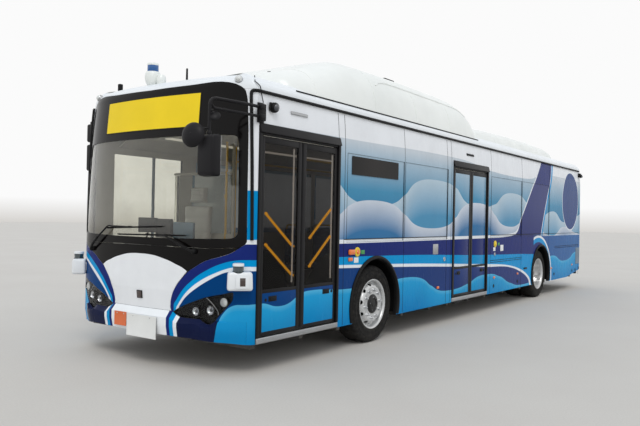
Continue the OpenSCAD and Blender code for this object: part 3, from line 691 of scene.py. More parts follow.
def livery():
    """The body's colours by the length round the skin and the height."""
    tree, given, result = group("livery", [("S", "value", 0.0), ("Z", "value", 0.0)],
        [("Colour", "colour")])
    s, z = given["S"], given["Z"]
    side = calc(tree, "GREATER_THAN", s, 1.3)

    def edge(parts):
        front, back = line(tree, s, parts[0]), line(tree, s, parts[1])
        return calc(tree, "ADD", calc(tree, "MULTIPLY", back, side), calc(tree, "MULTIPLY", front,
            calc(tree, "SUBTRACT", 1.0, side)))

    # Below the stripes: deep blue with a lighter rolling wave
    wave = edge((CORNER_WAVE, WAVES))
    deep = ramp(tree, scaled(tree, s, 1.0, 13.0), [(0.0, DEEP_BLUE), (0.12, rgb(16, 64, 124)),
        (0.45, rgb(36, 58, 116)), (0.70, rgb(40, 58, 120)), (0.79, rgb(40, 92, 154)),
        (1.0, rgb(46, 104, 164))])
    water = ramp(tree, scaled(tree, calc(tree, "SUBTRACT", wave, z), 0.0, 0.42), [(0.0, rgb(84, 178, 218)),
        (0.14, rgb(34, 156, 210)), (1.0, rgb(0, 126, 190))])
    colour = blend(tree, over(tree, wave, z), deep, water)
    # Round the rear arch the stripes run down in an arc
    reach = length(tree, calc(tree, "MULTIPLY", calc(tree, "SUBTRACT", s, 9.84), 0.93),
        calc(tree, "SUBTRACT", z, 0.40))
    behind = calc(tree, "GREATER_THAN", s, 9.55)
    arc = calc(tree, "MULTIPLY", behind, calc(tree, "LESS_THAN", z, 1.257))
    # Stripes from the lowest up
    for parts, paint in ((WHITE_LOW, PALE), (CYAN_LOW, CYAN), (NAVY_LOW, NAVY)):
        mask = calc(tree, "MULTIPLY", over(tree, z, edge(parts)), calc(tree, "SUBTRACT", 1.0, arc))
        colour = blend(tree, mask, colour, paint)
    for radius, paint in ((0.83, PALE), (0.785, CYAN), (0.70, NAVY)):
        colour = blend(tree, calc(tree, "MULTIPLY", over(tree, radius, reach), arc), colour, paint)
    # Over the belt: sky with two rows of rolling forms
    sky = ramp(tree, scaled(tree, z, 1.26, 2.40), [(0.0, rgb(26, 88, 138)), (0.30, rgb(56, 128, 170)),
        (0.50, rgb(70, 142, 178)), (0.85, rgb(165, 188, 204)), (1.0, rgb(200, 208, 215))])
    for tops, deep_to, crest, low in ((FAR_HILLS, 0.50, rgb(184, 203, 215), rgb(78, 146, 184)),
            (NEAR_HILLS, 0.36, rgb(205, 212, 222), rgb(56, 116, 164))):
        top = line(tree, s, tops)
        form = ramp(tree, scaled(tree, calc(tree, "SUBTRACT", top, z), 0.0, deep_to),
            [(0.0, crest), (1.0, low)])
        sky = blend(tree, over(tree, top, z), sky, form)
    rear_edge = line(tree, z, milli(1160, 9990, 1320, 10040, 1500, 10120, 1760, 10250, 2020, 10390, 2290,
        10530, 2540, 10640, 2900, 10740))
    past = calc(tree, "SUBTRACT", s, rear_edge)
    navy_top = edge(NAVY_TOP)
    roof_white = line(tree, s, milli(1200, 2386, 3000, 2400, 5700, 2430, 7200, 2330, 8800, 2300, 9600, 2360,
        10800, 2460, 13300, 2430))
    upper = blend(tree, over(tree, z, roof_white), sky, WHITE)
    upper = blend(tree, over(tree, calc(tree, "ADD", navy_top, 0.045), z), upper, PALE)
    before = over(tree, z, navy_top)
    above = calc(tree, "GREATER_THAN", z, 1.215)
    colour = blend(tree, before, colour, upper)
    # Behind the band: a pale line, a cyan one, and the sky again
    after = calc(tree, "MULTIPLY", above, over(tree, past, 0.0))
    rear_sky = blend(tree, over(tree, z, roof_white), sky, WHITE)
    rear = blend(tree, over(tree, past, 0.030), PALE, CYAN)
    rear = blend(tree, over(tree, past, 0.110), rear, rear_sky)
    colour = blend(tree, after, colour, rear)
    # A plain disc with a fine ring
    away = length(tree, calc(tree, "SUBTRACT", s, DISC[0]), calc(tree, "SUBTRACT", z, DISC[1]))
    colour = blend(tree, over(tree, DISC[2], away), colour, PALE)
    colour = blend(tree, over(tree, DISC[2] - 0.022, away), colour, rgb(40, 69, 126))
    # The front pillar
    post = calc(tree, "MULTIPLY", calc(tree, "LESS_THAN", s, 1.385), over(tree, z, 1.239))
    pillar = blend(tree, over(tree, z, 1.279), rgb(235, 238, 241), rgb(0, 140, 204))
    pillar = blend(tree, over(tree, z, 1.742), pillar, WHITE)
    colour = blend(tree, post, colour, pillar)
    tree.links.new(colour, result["Colour"])
    return tree


LIVERY = livery()


def side_livery(tree):
    x, _, z = object_place(tree)[:3]
    return use(tree, LIVERY, S=calc(tree, "SUBTRACT", SIDE_END, x), Z=z)["Colour"]


def front_livery(tree):
    place = skin_place(tree)
    return use(tree, LIVERY, S=calc(tree, "ABSOLUTE", place[0]), Z=place[1])["Colour"]


def film_with_shaded_holes(tree):
    """The same design printed on film over glass, with the film's fine holes painted dark as painted shade
    for the dim cabin behind them, so it reads a little darker.
    """
    holes = put(tree, "TexVoronoi", {"Vector": object_at(tree), "Scale": 260.0}).outputs[0]
    return blend(tree, scaled(tree, holes, 0.30, 0.18, 0.0, 0.22), side_livery(tree), rgb(24, 34, 48))


def bumper_paint(tree):
    """Upright stripes over the ledge's ends, then the lowest navy and the corner's wave."""
    place = skin_place(tree)
    s = calc(tree, "ABSOLUTE", place[0])
    colour = rgb(240, 243, 245)
    for edge, paint in ((0.411, NAVY), (0.452, CYAN), (0.500, rgb(236, 240, 243)), (0.544, LOW_NAVY)):
        colour = blend(tree, over(tree, s, edge, 0.0015), colour, paint)
    wave = line(tree, s, CORNER_WAVE)
    water = ramp(tree, scaled(tree, place[1], 0.28, 0.67),
        [(0.0, rgb(0, 128, 190)), (1.0, rgb(34, 156, 210))])
    return blend(tree, over(tree, wave, place[1], 0.002), colour, water)


def rear_paint(tree):
    z = object_place(tree)[2]
    low = ramp(tree, scaled(tree, z, 0.28, 1.8), [(0.0, rgb(0, 104, 165)), (0.45, rgb(40, 110, 164)),
        (1.0, rgb(75, 120, 172))])
    return blend(tree, over(tree, z, 1.75), low, WHITE)


def cloth_weave(tree, yarn, cross, dots=None):
    place = object_at(tree)
    threads = put(tree, "TexChecker", {"Vector": place, "Scale": 420.0, "Color1": yarn,
        "Color2": cross}).outputs[0]
    if not dots:
        return threads
    spots = put(tree, "TexVoronoi", {"Vector": place, "Scale": 42.0}).outputs[0]
    return blend(tree, scaled(tree, spots, 0.30, 0.26), threads, dots)


def mottled(tree, one, two, scale=30.0):
    spots = noise(tree, object_at(tree), scale, 4.0)
    return blend(tree, scaled(tree, spots, 0.35, 0.65), one, two)


GLOSS = {"Coat_Weight": 0.02, "Coat_Roughness": 0.05, "Specular_IOR_Level": 0.04}
paint_side = finish_of("painted_side", WHITE, 0.26, 0.025, 0.8, paint=side_livery, **GLOSS)
paint_front = finish_of("painted_front", WHITE, 0.24, 0.015, 0.8, paint=front_livery, **GLOSS)
paint_bumper = finish_of("painted_bumper", WHITE, 0.26, 0.03, 0.6, paint=bumper_paint, **GLOSS)
paint_rear = finish_of("painted_rear", WHITE, 0.26, 0.05, 1.2, paint=rear_paint, **GLOSS)
paint_white = finish_of("painted_white", rgb(238, 240, 242), 0.26, 0.03, 0.8, **GLOSS)
film_glass = finish_of("printed_film_on_glass", WHITE, 0.16, 0.02, 1.6, peel=(60.0, 0.015), paint=film_with_shaded_holes,
    Coat_Weight=0.02, Coat_Roughness=0.03, Specular_IOR_Level=0.05)
roof_white = finish_of("roof_white", rgb(228, 231, 233), 0.42, 0.0, 1.0, paint=lambda t: mottled(t,
    rgb(236, 239, 241), rgb(230, 234, 237), 1.5), Coat_Weight=0.2)
pod_white = finish_of("glass_fibre_white", rgb(234, 238, 241), 0.38, peel=(90.0, 0.10),
    paint=lambda t: mottled(t, rgb(238, 240, 236), rgb(232, 235, 231), 1.2), Coat_Weight=0.25)
mask_black = finish_of("gloss_black", rgb(11, 9, 9), 0.10, 0.0, 1.6, peel=(60.0, 0.02), Coat_Weight=0.0,
    Coat_Roughness=0.03, Specular_IOR_Level=0.16)
door_black = finish_of("powder_coated_black", rgb(20, 19, 21), 0.42, 0.01, 0.9, peel=(700.0, 0.12),
    Specular_IOR_Level=0.2)
trim_black = finish_of("moulded_black", rgb(15, 15, 16), 0.55, 0.02, 0.9, peel=(900.0, 0.20),
    Specular_IOR_Level=0.2)
rubber = finish_of("rubber", rgb(19, 19, 20), 0.78, 0.04, 0.9, peel=(500.0, 0.20), Specular_IOR_Level=0.2)
mirror_case = finish_of("mirror_case_black", rgb(22, 21, 24), 0.42, 0.0, 0.5, peel=(800.0, 0.15),
    Specular_IOR_Level=0.2)
silver = finish_of("brushed_aluminium", rgb(176, 178, 180), 0.34, 0.15, 0.8, peel=(300.0, 0.06),
    Metallic=1.0)
bright = finish_of("bright_metal", rgb(215, 217, 220), 0.14, 0.0, 0.8, peel=(120.0, 0.02), Metallic=1.0)
rim_silver = finish_of("polished_wheel", rgb(206, 207, 207), 0.30, 0.05, 0.9, peel=(60.0, 0.05),
    Metallic=0.55)
drum_dark = finish_of("brake_drum_dark", rgb(20, 19, 18), 0.7, 0.05, 0.9, peel=(300.0, 0.2))
hub_black = finish_of("hub_black", rgb(20, 20, 22), 0.34, 0.03, 0.9, peel=(300.0, 0.1),
    Specular_IOR_Level=0.35)
steel = finish_of("chassis_steel", rgb(52, 53, 56), 0.6, 0.5, 0.9, peel=(180.0, 0.25),
    paint=lambda t: mottled(t, rgb(48, 49, 52), rgb(66, 64, 62), 14.0), Metallic=0.3)
cabin_dark = finish_of("cabin_plastic_dark", rgb(44, 45, 49), 0.6, peel=(900.0, 0.25))
cabin_pale = finish_of("cabin_plastic_pale", rgb(196, 194, 184), 0.5, peel=(600.0, 0.15))
floor_cover = finish_of("cabin_floor", rgb(60, 62, 66), 0.6, peel=(400.0, 0.15), paint=lambda t: mottled(t,
    rgb(54, 56, 60), rgb(66, 68, 72), 220.0))
seat_cloth = finish_of("seat_cloth", rgb(36, 62, 120), 0.9, peel=(600.0, 0.35),
    paint=lambda t: cloth_weave(t, rgb(30, 58, 118), rgb(44, 72, 132), rgb(96, 160, 204)), Sheen_Weight=0.3)
rail_paint = finish_of("rail_yellow", rgb(238, 190, 40), 0.32, peel=(200.0, 0.05), Coat_Weight=0.4)
glowing_yellow_bar = finish_of("door_bar_yellow_painted_glow", rgb(240, 180, 30), 0.35, peel=(200.0, 0.05), Coat_Weight=0.2)
# The door bars glow a little though they are no lamp: painted light that keeps them bright behind the dark
# door glass.
glowing(glowing_yellow_bar, rgb(240, 170, 20), 1.1)
sign_yellow = finish_of("sign_yellow", rgb(246, 214, 34), 0.5, peel=(300.0, 0.05), Specular_IOR_Level=0.2)
orange_lens = finish_of("orange_lens", rgb(236, 112, 10), 0.12, peel=(300.0, 0.30), Coat_Weight=0.8)
red_lens = finish_of("red_lens", rgb(176, 18, 22), 0.12, peel=(300.0, 0.30), Coat_Weight=0.8)
pale_lens = finish_of("clear_lens", rgb(214, 216, 214), 0.12, peel=(300.0, 0.30), Coat_Weight=0.8)
green_label = finish_of("green_mark", rgb(62, 150, 72), 0.4)
yellow_mark = finish_of("yellow_mark", rgb(236, 206, 40), 0.4)
plate_white = finish_of("plate_white", rgb(236, 237, 234), 0.35, 0.15, 0.8, peel=(300.0, 0.04))
plate_orange = finish_of("plate_orange", rgb(222, 104, 44), 0.4, 0.15, 0.8, peel=(300.0, 0.04))
sensor_white = finish_of("sensor_case_white", rgb(230, 233, 235), 0.34, 0.05, 1.1, peel=(700.0, 0.08),
    Coat_Weight=0.3)
sensor_window = finish_of("sensor_window_brown", rgb(52, 34, 30), 0.08, peel=(60.0, 0.01), Coat_Weight=1.0)
sensor_teal = finish_of("sensor_window_teal", rgb(22, 44, 50), 0.08, peel=(60.0, 0.01), Coat_Weight=1.0)
blue_band = finish_of("blue_lens", rgb(0, 84, 150), 0.10, peel=(200.0, 0.10), Coat_Weight=0.8)
lamp_case = finish_of("lamp_case_black", rgb(9, 8, 9), 0.25, peel=(200.0, 0.05), Specular_IOR_Level=0.25)
screen_dark = finish_of("screen_dark", rgb(20, 26, 34), 0.15, peel=None, Coat_Weight=0.6)


def tyre_wall(tree):
    """Rubber with rub marks round the shoulder; the pattern turns with the wheel."""
    marks = noise(tree, object_at(tree), 26.0, 6.0, Roughness=0.7)
    return blend(tree, scaled(tree, marks, 0.45, 0.75), rgb(20, 20, 21), rgb(52, 50, 47))


tyre_black = finish_of("tyre_rubber", rgb(20, 20, 21), 0.8, 0.05, 0.9, peel=(240.0, 0.30), paint=tyre_wall,
    Specular_IOR_Level=0.2)


def glass_of(name, tint, rough=0.0, wear=0.0, ior=1.45):
    """Clear sheet glass with a tint. Metallic and transmission stay plain numbers."""
    mat, tree, bsdf = new_material(name)
    haze = noise(tree, object_at(tree), 2.2, 4.0)
    grubby = tuple(c * 0.90 for c in tint[:3]) + (1,)
    tree.links.new(blend(tree, scaled(tree, haze, 0.4, 0.7), tint, grubby), bsdf.inputs["Base Color"])
    tree.links.new(scaled(tree, haze, 0.45, 0.8, rough, rough + wear), bsdf.inputs["Roughness"])
    tree.links.new(use(tree, ORANGE_PEEL, Scale=3.0, Depth=0.04)["Normal"], bsdf.inputs["Normal"])
    bsdf.inputs["Transmission Weight"].default_value = 1.0
    bsdf.inputs["IOR"].default_value = ior
    return mat


clear_glass = glass_of("windscreen_glass", (0.92, 0.91, 0.84, 1), 0.0, 0.02)
driver_glass = glass_of("cab_window_glass", (0.72, 0.72, 0.66, 1), 0.0, 0.02)
rear_glass = glass_of("rear_window_glass", (0.12, 0.13, 0.14, 1), 0.0, 0.02)
door_glass = glass_of("tinted_glass", (0.34, 0.31, 0.30, 1), 0.0, 0.02, 1.16)
blue_glass = glass_of("blue_tinted_glass", (0.20, 0.42, 0.56, 1), 0.02, 0.02)
lens_glass = glass_of("lamp_glass", (0.88, 0.89, 0.90, 1), 0.0, 0.01, 1.16)


# Floor, light and sky
def ground_finish():
    """Pale concrete, a little worn."""
    mat, tree, bsdf = new_material("pale_concrete")
    place = object_at(tree)
    wide = noise(tree, place, 0.5, 8.0, Roughness=0.6)
    grit = noise(tree, place, 60.0, 3.0)
    colour = ramp(tree, wide, [(0.30, rgb(203, 198, 191)), (0.70, rgb(208, 204, 197))])
    colour = blend(tree, scaled(tree, grit, 0.35, 0.75, 0.0, 0.30), colour, rgb(184, 179, 172))
    tree.links.new(colour, bsdf.inputs["Base Color"])
    bsdf.inputs["Roughness"].default_value = 0.9
    bump = put(tree, "Bump", {"Strength": 0.25, "Distance": 0.004, "Height": grit}).outputs[0]
    tree.links.new(bump, bsdf.inputs["Normal"])
    return mat


bpy.ops.object.select_all(action="DESELECT")
bpy.ops.mesh.primitive_grid_add(x_subdivisions=2, y_subdivisions=2, size=160, location=(-20, 0, 0))
ground = bpy.context.object
bpy.ops.object.transform_apply(location=True)
ground.name = "ground"
ground.data.materials.append(ground_finish())


def sky_world():
    """Even overcast light; the camera, glass and metal see a white sky."""
    world = bpy.data.worlds.new("sky")
    bpy.context.scene.world = world
    world.use_nodes = True
    tree = world.node_tree
    path = put(tree, "LightPath").outputs
    seen = calc(tree, "MAXIMUM", path["Is Camera Ray"], calc(tree, "MAXIMUM", path["Is Glossy Ray"],
        path["Is Transmission Ray"]))
    up_way = put(tree, "SeparateXYZ", {0: put(tree, "TexCoord").outputs["Generated"]}).outputs[2]
    dome = ramp(tree, scaled(tree, up_way, -0.1, 0.9), [(0.0, (0.55, 0.53, 0.50, 1)),
        (0.12, (0.86, 0.87, 0.88, 1)), (1.0, (0.72, 0.78, 0.86, 1))])
    white = ramp(tree, scaled(tree, up_way, -0.02, 0.02), [(0.0, (0.62, 0.60, 0.57, 1)),
        (1.0, (0.965, 0.965, 0.965, 1))])
    background = tree.nodes["Background"]
    tree.links.new(blend(tree, seen, dome, white), background.inputs[0])
    background.inputs[1].default_value = 1.0


sky_world()


def hazy_sun():
    data = bpy.data.lights.new("hazy_sun", "SUN")
    data.energy = 0.9
    data.color = (1, 0.98, 0.95)
    data.angle = radians(25)
    ob = bpy.data.objects.new("hazy_sun", data)
    link(ob)
    ob.matrix_world = facing((14, 12, 22), Vector((14, 12, 21)))


hazy_sun()


# CAD nodes that stay as they are or are smoothed
def smooth_copy(node, material, slot=None, angle=30):
    """A merged, smoothed copy of a CAD node, which it stands for."""
    source = frame["nodes"][node]
    piece = source.copy()
    piece.data = source.data.copy()
    for key in list(piece.keys()):
        del piece[key]
    piece.parent = None
    link(piece)
    edit(piece, lambda: bpy.ops.mesh.remove_doubles(threshold=2e-5))
    return finish(piece, node + "_finished", material, slot, angle, (node,), body=source["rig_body"])


def plain(node, material):
    """A CAD node that is shown as it is, in a better material."""
    piece = frame["nodes"][node]
    for k in range(len(piece.data.materials)):
        piece.data.materials[k] = material
    if not piece.data.materials:
        piece.data.materials.append(material)


def sorted_faces(piece, *tests):
    """Gives faces that pass a test of (centre, normal) the material of that number, from 1 on."""
    for face in piece.data.polygons:
        for k, test in enumerate(tests):
            if test(face.center, face.normal):
                face.material_index = k + 1
                break


def facing_in(c, n):
    """A face of the body's shell that looks into the cabin."""
    past_end = c.x - 4.4 if c.x > 4.4 else c.x + 5.4 if c.x < -5.4 else 0
    return n.x * past_end * 2 + n.y * c.y + n.z * (1 if c.z > 2.72 else 0) < -0.3


for side, sign in SIDES:
    wall = smooth_copy("wall_" + side, [paint_side, cabin_pale, trim_black], "body_paint")
    sorted_faces(wall, lambda c, n: n.y * sign < -0.5, lambda c, n: abs(n.y) < 0.3 and c.z < 2.6)
    settle(wall, ("WEIGHTED_NORMAL", {"keep_sharp": True, "weight": 90}))
# The roof falls away towards its edges, and what stands on it is set on that
ROOF_EDGE = [skin(k * 0.05, WALL_TOP) for k in range(-27, 28)]
FALL = milli(0, 0, 30, 30, 60, 42, 100, 52, 200, 60, 350, 45, 600, 20, 900, 4, 1200, 0)


def roof_fall(x, y):
    """How far the crowned roof lies under the plain one."""
    inside = min(HALF - 0.030 - abs(y), x - REAR - 0.02)
    if x > 4.4:
        inside = min(inside, min(hypot(x - p.x, y - p.y) for p in ROOF_EDGE))
    return spread(FALL, max(0.0, inside))


def on_roof(x, y):
    """A point of the roof's outside."""
    inside = HALF - 0.030 - abs(y)
    if x > 4.4:
        inside = min(inside, min(hypot(x - p.x, y - p.y) for p in ROOF_EDGE))
    rise = COVE if inside > COVE else sqrt(max(0, COVE ** 2 - (COVE - max(0, inside)) ** 2))
    return Vector((x, y, WALL_TOP + rise - roof_fall(x, y)))


roof = smooth_copy("roof_shell", [roof_white, cabin_pale], "body_paint", 40)
CUT_Y = (-0.9, -0.75, -0.6, -0.4, -0.2, 0, 0.2, 0.4, 0.6, 0.75, 0.9)
CUT_X = (5.5, 5.42, 5.34, 5.25, 5.15, 5.0, 4.85, 4.6, -5.0, -5.3, -5.6, -5.75, -5.88)
CUTS = [((0, y, 0), (0, 1, 0)) for y in CUT_Y] + [((x, 0, 0), (1, 0, 0)) for x in CUT_X]
edit(roof, *[(lambda a=a, n=n: bpy.ops.mesh.bisect(plane_co=a, plane_no=n)) for a, n in CUTS])
for v in roof.data.vertices:
    if v.co.z > WALL_TOP + 0.001:
        v.co.z -= roof_fall(v.co.x, v.co.y) * min(1, (v.co.z - WALL_TOP) / 0.05)
only(roof)
bpy.ops.object.shade_smooth_by_angle(angle=radians(40))
sorted_faces(roof, lambda c, n: n.z < -0.3 or (n.y * c.y + n.x * c.x / 5) < -0.4)
panes = smooth_copy("side_windows", [film_glass, driver_glass, rear_glass], "film_glass")
sorted_faces(panes, lambda c, n: c.y < 0 and c.x > 4.0, lambda c, n: c.x < -6.0)
tail = smooth_copy("rear_wall", [paint_rear, cabin_pale, trim_black], "body_paint")
sorted_faces(tail, lambda c, n: n.x > 0.5 and abs(c.y) < 1.1 or n.y * c.y < -0.4 and c.x > -6.15
    and abs(c.y) > 1.1, lambda c, n: abs(n.x) < 0.3 and abs(c.y) < 0.9)
smooth_copy("rear_hatch", paint_rear, "body_paint")


def fairing(name, node, line_up, base_half, shoulder, nose, tail, seams, lid):
    """A roof fairing: its height along the bus, its base on the roof's edge and its rounded ends."""
    profile = milli(0, 0, 15, 60, 35, 140, 80, 300, 160, 480, 280, 640, 440, 780, 620, 880, 820, 955, 1000,
        985)
    top = milli(800, 995, 500, 1000, 200, 1000)
    stations = []
    d = line_up[0][0]
    while d < line_up[-1][0] - 1e-6:
        stations.append(d)
        near = min(d - line_up[0][0], line_up[-1][0] - d)
        d += 0.02 if near < 0.14 else 0.045 if near < 0.5 else 0.12
    stations.append(line_up[-1][0])
    rows = []
    for d in stations:
        wide = min(spread(nose, d - line_up[0][0]), spread(tail, line_up[-1][0] - d))
        b, inner, high = base_half * wide, shoulder * wide, spread(line_up, d)
        foot = on_roof(at(d), b).z - 0.006
        h = max(0.012, high - foot)
        half = [(b - (b - inner) * p, foot + h * q) for p, q in profile] + [(inner * k, foot + h * q)
            for k, q in top]
        row = half + [(0, foot + h)] + [(-y, z) for y, z in reversed(half)]
        rows.append([(at(d), y, z) for y, z in row])
    n = len(rows[0])
    mesh = bpy.data.meshes.new(name)
    around = [(i * n + j, i * n + j + 1, (i + 1) * n + j + 1, (i + 1) * n + j) for i in range(len(rows) - 1)
        for j in range(n - 1)]
    ends = [tuple(range(n)), tuple((len(rows) - 1) * n + j for j in range(n - 1, -1, -1))]
    mesh.from_pydata([p for row in rows for p in row], [], around + ends)
    piece = bpy.data.objects.new(name, mesh)
    link(piece)
    ribs = [pipe([Vector(p) for p in min(rows, key=lambda row: abs(row[0][0] - at(d)))], 0.0045, 0.01, 6)
        for d in seams]
    for sign in (1, -1):
        edge_line = []
        for row in rows:
            behind = FRONT - row[0][0]
            goal = spread(lid, behind) if lid and lid[0][0] <= behind <= lid[-1][0] else None
            for p, q in zip(row, row[1:]):
                if goal and p[1] > 0.3 and p[2] <= goal < q[2]:
                    t = (goal - p[2]) / (q[2] - p[2])
                    edge_line.append(Vector((p[0], sign * (p[1] + (q[1] - p[1]) * t), goal)))
                    break
        if len(edge_line) > 3:
            ribs.append(pipe(edge_line, 0.011, 0.02, 8))
    finish(joined(*ribs), name + "_ribs", pod_white, "pod_white", 60)
    choose(piece, lambda c, m: abs(m.x) > 0.999)
    bpy.ops.mesh.poke()
    leave()
    edit(piece, outward)
    return finish(piece, name, pod_white, "pod_white", 50, (node,))


NOSE = milli(0, 600, 20, 700, 50, 790, 90, 860, 140, 915, 200, 950, 300, 980, 450, 995, 600, 1000)
BLUNT = milli(0, 860, 20, 920, 50, 955, 100, 980, 200, 1000)
FRONT_TOP = milli(860, 2900, 885, 2965, 930, 3020, 1030, 3060, 1180, 3095, 1360, 3140, 1480, 3175, 1600,
    3215, 1720, 3262, 1840, 3308, 1970, 3345, 2120, 3372, 2300, 3388, 2800, 3398, 3600, 3406, 4600, 3400,
    5230, 3385, 5500, 3335, 5660, 3250, 5760, 3140, 5820, 3020, 5850, 2920)
REAR_TOP = milli(5860, 2940, 5900, 3010, 6050, 3050, 6600, 3078, 7630, 3100, 8800, 3104, 9800, 3085, 10100,
    3055, 10260, 3000, 10340, 2930)
fairing("front_roof_fairing", "roof_pod_front", FRONT_TOP, 1.186, 0.80, NOSE, BLUNT,
    (1.36, 2.60, 3.70, 4.80), milli(2620, 3020, 2660, 3100, 2740, 3175, 2880, 3225, 3100, 3250, 5200, 3235,
    5400, 3200, 5520, 3120))
fairing("rear_roof_fairing", "roof_pod_rear", REAR_TOP, 1.080, 0.82, BLUNT, BLUNT, (6.9, 7.9, 8.9, 9.8), [])
for sign, side in ((1, "left"), (-1, "right")):
    route = [on_roof(at(d), sign * 1.189) + Vector((0, sign * 0.001, 0.004)) for d in (0.98, 2.0, 3.4, 4.6,
        5.80)]
    finish(pipe(route, 0.0085, 0.02, 8), "fairing_seal_" + side, rubber, "rubber", 60)
for leaf in ("a", "b"):
    smooth_copy("front_door_leaf_" + leaf, door_black, "door_black")
    smooth_copy("front_door_glass_" + leaf, door_glass, "clear_glass")
    smooth_copy("mid_door_leaf_" + leaf, door_black, "door_black")
    smooth_copy("mid_door_glass_" + leaf, blue_glass, "film_glass")
for node, material in (("floor_frame", steel), ("floor_panel", floor_cover), ("wheel_houses", trim_black),
        ("rear_platform", floor_cover), ("door_frame_front", door_black), ("door_frame_mid", door_black),
        ("rain_gutters", trim_black), ("arch_lips", rubber), ("lamps", orange_lens), ("wipers", trim_black),
        ("mirror_left", mirror_case), ("mirror_right", mirror_case), ("sensor_pods", sensor_white),
        ("roof_beacon", pod_white), ("dashboard", cabin_dark), ("steering_wheel", trim_black),
        ("seats", seat_cloth), ("grab_rails", rail_paint), ("front_axle", steel), ("rear_axle", steel),
        ("knuckle_left", steel), ("knuckle_right", steel)):
    plain(node, material)
for side in ("left", "right"):
    smooth_copy("rear_rims_" + side, rim_silver, "wheel_silver", 40)
    smooth_copy("front_tyre_" + side, tyre_black, "tyre", 40)
    smooth_copy("rear_tyres_" + side, tyre_black, "tyre", 40)


# The front
def relief(regions, across=None, upward=None):
    """A flat sheet cut finely, ready to be given depth before it is laid on the skin."""
    return slices(flat(regions), ROUND_S if across is None else across,
        ROUND_Z if upward is None else upward)


def lay(piece, out=0.0, place=skin):
    """Lays a piece made flat, with its own depth, on the skin, and keeps the flat place as a UV map."""
    layer = piece.data.uv_layers.new(name="skin")
    for loop in piece.data.loops:
        layer.uv[loop.index].vector = piece.data.vertices[loop.vertex_index].co.xy
    for v in piece.data.vertices:
        v.co = place(v.co.x, v.co.y, out + v.co.z)
    return piece


def slab(regions, thick=0.004, edge=0.0015, across=None, upward=None, out=0.0, place=skin):
    """A panel with rounded edges laid on the skin; its thickness goes inwards."""
    piece = relief(regions, across, upward)
    face_up(piece)
    settle(piece, ("SOLIDIFY", {"thickness": thick, "offset": -1}))
    if edge:
        settle(piece, rounded(edge, 2, 50))
    return lay(piece, out, place)


def both(loop):
    return [[loop], [mirrored(loop)]]


LAMP_TOP = milli(452, 557, 499, 585, 554, 612, 625, 644, 699, 672, 783, 703, 868, 731, 937, 748, 1007, 762,
    1075, 777, 1125, 789, 1137, 786, 1142, 768, 1135, 713, 1108, 673, 1043, 600, 986, 537, 966, 512)
LAMP_ROWS = (0.5, 0.55, 0.6, 0.65, 0.7, 0.75)
LAMP_LOW = [p for p in LEDGE_TOP if 0.44 < p[0] <= 0.966]
MASK_TOP = milli(1253.5, 1255, 1253.5, 1600, 1253.5, 1950, 1253.5, 2300, 1249, 2422, 1244, 2565, 1237, 2612,
    1228, 2648, 1216, 2680, 1199, 2703, 1178, 2720, 1154, 2733, 1095, 2756, 1023, 2772, 935, 2782, 848,
    2784, 604, 2772, 273, 2768, 0, 2764)
CLEAR = milli(0, 1272, 400, 1273, 800, 1279, 1050, 1286, 1115, 1292, 1146, 1305, 1163, 1322, 1169, 1341,
    1170, 1539, 1166, 1773, 1163, 2008, 1157, 2185, 1150, 2225, 1134, 2250, 1100, 2262, 800, 2268, 400,
    2270, 0, 2270)
SHIELD_TOP = milli(0, 1106, 87, 1105, 202, 1096, 314, 1074, 421, 1048, 483, 1026, 568, 998, 636, 962)
SHIELD_SIDE = milli(571, 894, 510, 826, 459, 742, 433, 675, 419, 600, 428, 566)


def smooth_line(points, step=0.02):
    """The measured points joined by a smooth line in s and z."""
    return [(p.x, p.y) for p in flowing([(a, b, 0) for a, b in points], step)]


def whole(half):
    """A loop from its left half, which starts and ends on the centre line."""
    return half + [(-s, z) for s, z in reversed(half[1:-1])]


navy_edge = smooth_line([(0.432, 0.566)] + NAVY_TOP[0][1:-2] + [(1.243, 1.238), (1.2565, 1.262)])
lamp_edge = smooth_line(LAMP_TOP, 0.015)
corner_loop = ([(s + 0.002, z) for s, z in navy_edge] + [(1.2565, 1.60), (1.2565, 1.95), (1.2565, 2.30),
    (1.252, 2.422), (1.247, 2.565), (1.240, 2.613), (1.231, 2.650), (1.219, 2.683), (1.203, 2.7065),
    (CORNER_S - 0.001, 2.7065), (CORNER_S - 0.001, 0.293), (1.2695, 0.296), (1.2695, 0.512)]
    + list(reversed(lamp_edge)) + [(0.440, 0.566)])
corner_panel = slab(both(corner_loop), 0.006, 0.0012)
finish(corner_panel, "front_corner_panels", [paint_front, cabin_pale], "body_paint", 30)
sorted_faces(corner_panel, facing_in)

shield_half = (milli(0, 568, 200, 568, 400, 568) + list(reversed(smooth_line(SHIELD_SIDE)))
    + list(reversed(smooth_line(SHIELD_TOP, 0.03))))
shield = slab([[whole(shield_half)]], 0.006, 0.003)
finish(shield, "front_shield", paint_white, "body_paint", 30)

LOW_EDGE = milli(0, 329, 700, 329, 980, 311, 1150, 305, 1268, 296)
ledge_low = [(s, z) for s, z in LEDGE_LOW if 0 < s < 1] + [(1.268, 0.504)]
ledge_top = [(s, z) for s, z in LEDGE_TOP if 0 < s < 1] + [(1.268, 0.512)]
ledge_half = [(0.0, 0.565)] + ledge_top + list(reversed(ledge_low)) + [(0.0, 0.502)]
face_half = [(0.0, 0.502)] + ledge_low + list(reversed(LOW_EDGE))
bumper = slab([[whole(ledge_half)], [whole(face_half)]], 0.006, 0, upward=[0.33, 0.36, 0.39, 0.42, 0.46,
    0.502], across=ROUND_S + [v * g for v in (0.411, 0.452, 0.50, 0.544, 0.58, 0.65, 0.69, 0.74)
    for g in (1, -1)])
finish(bumper, "front_bumper_face", paint_bumper, "body_paint", 24, ("front_bumper",))

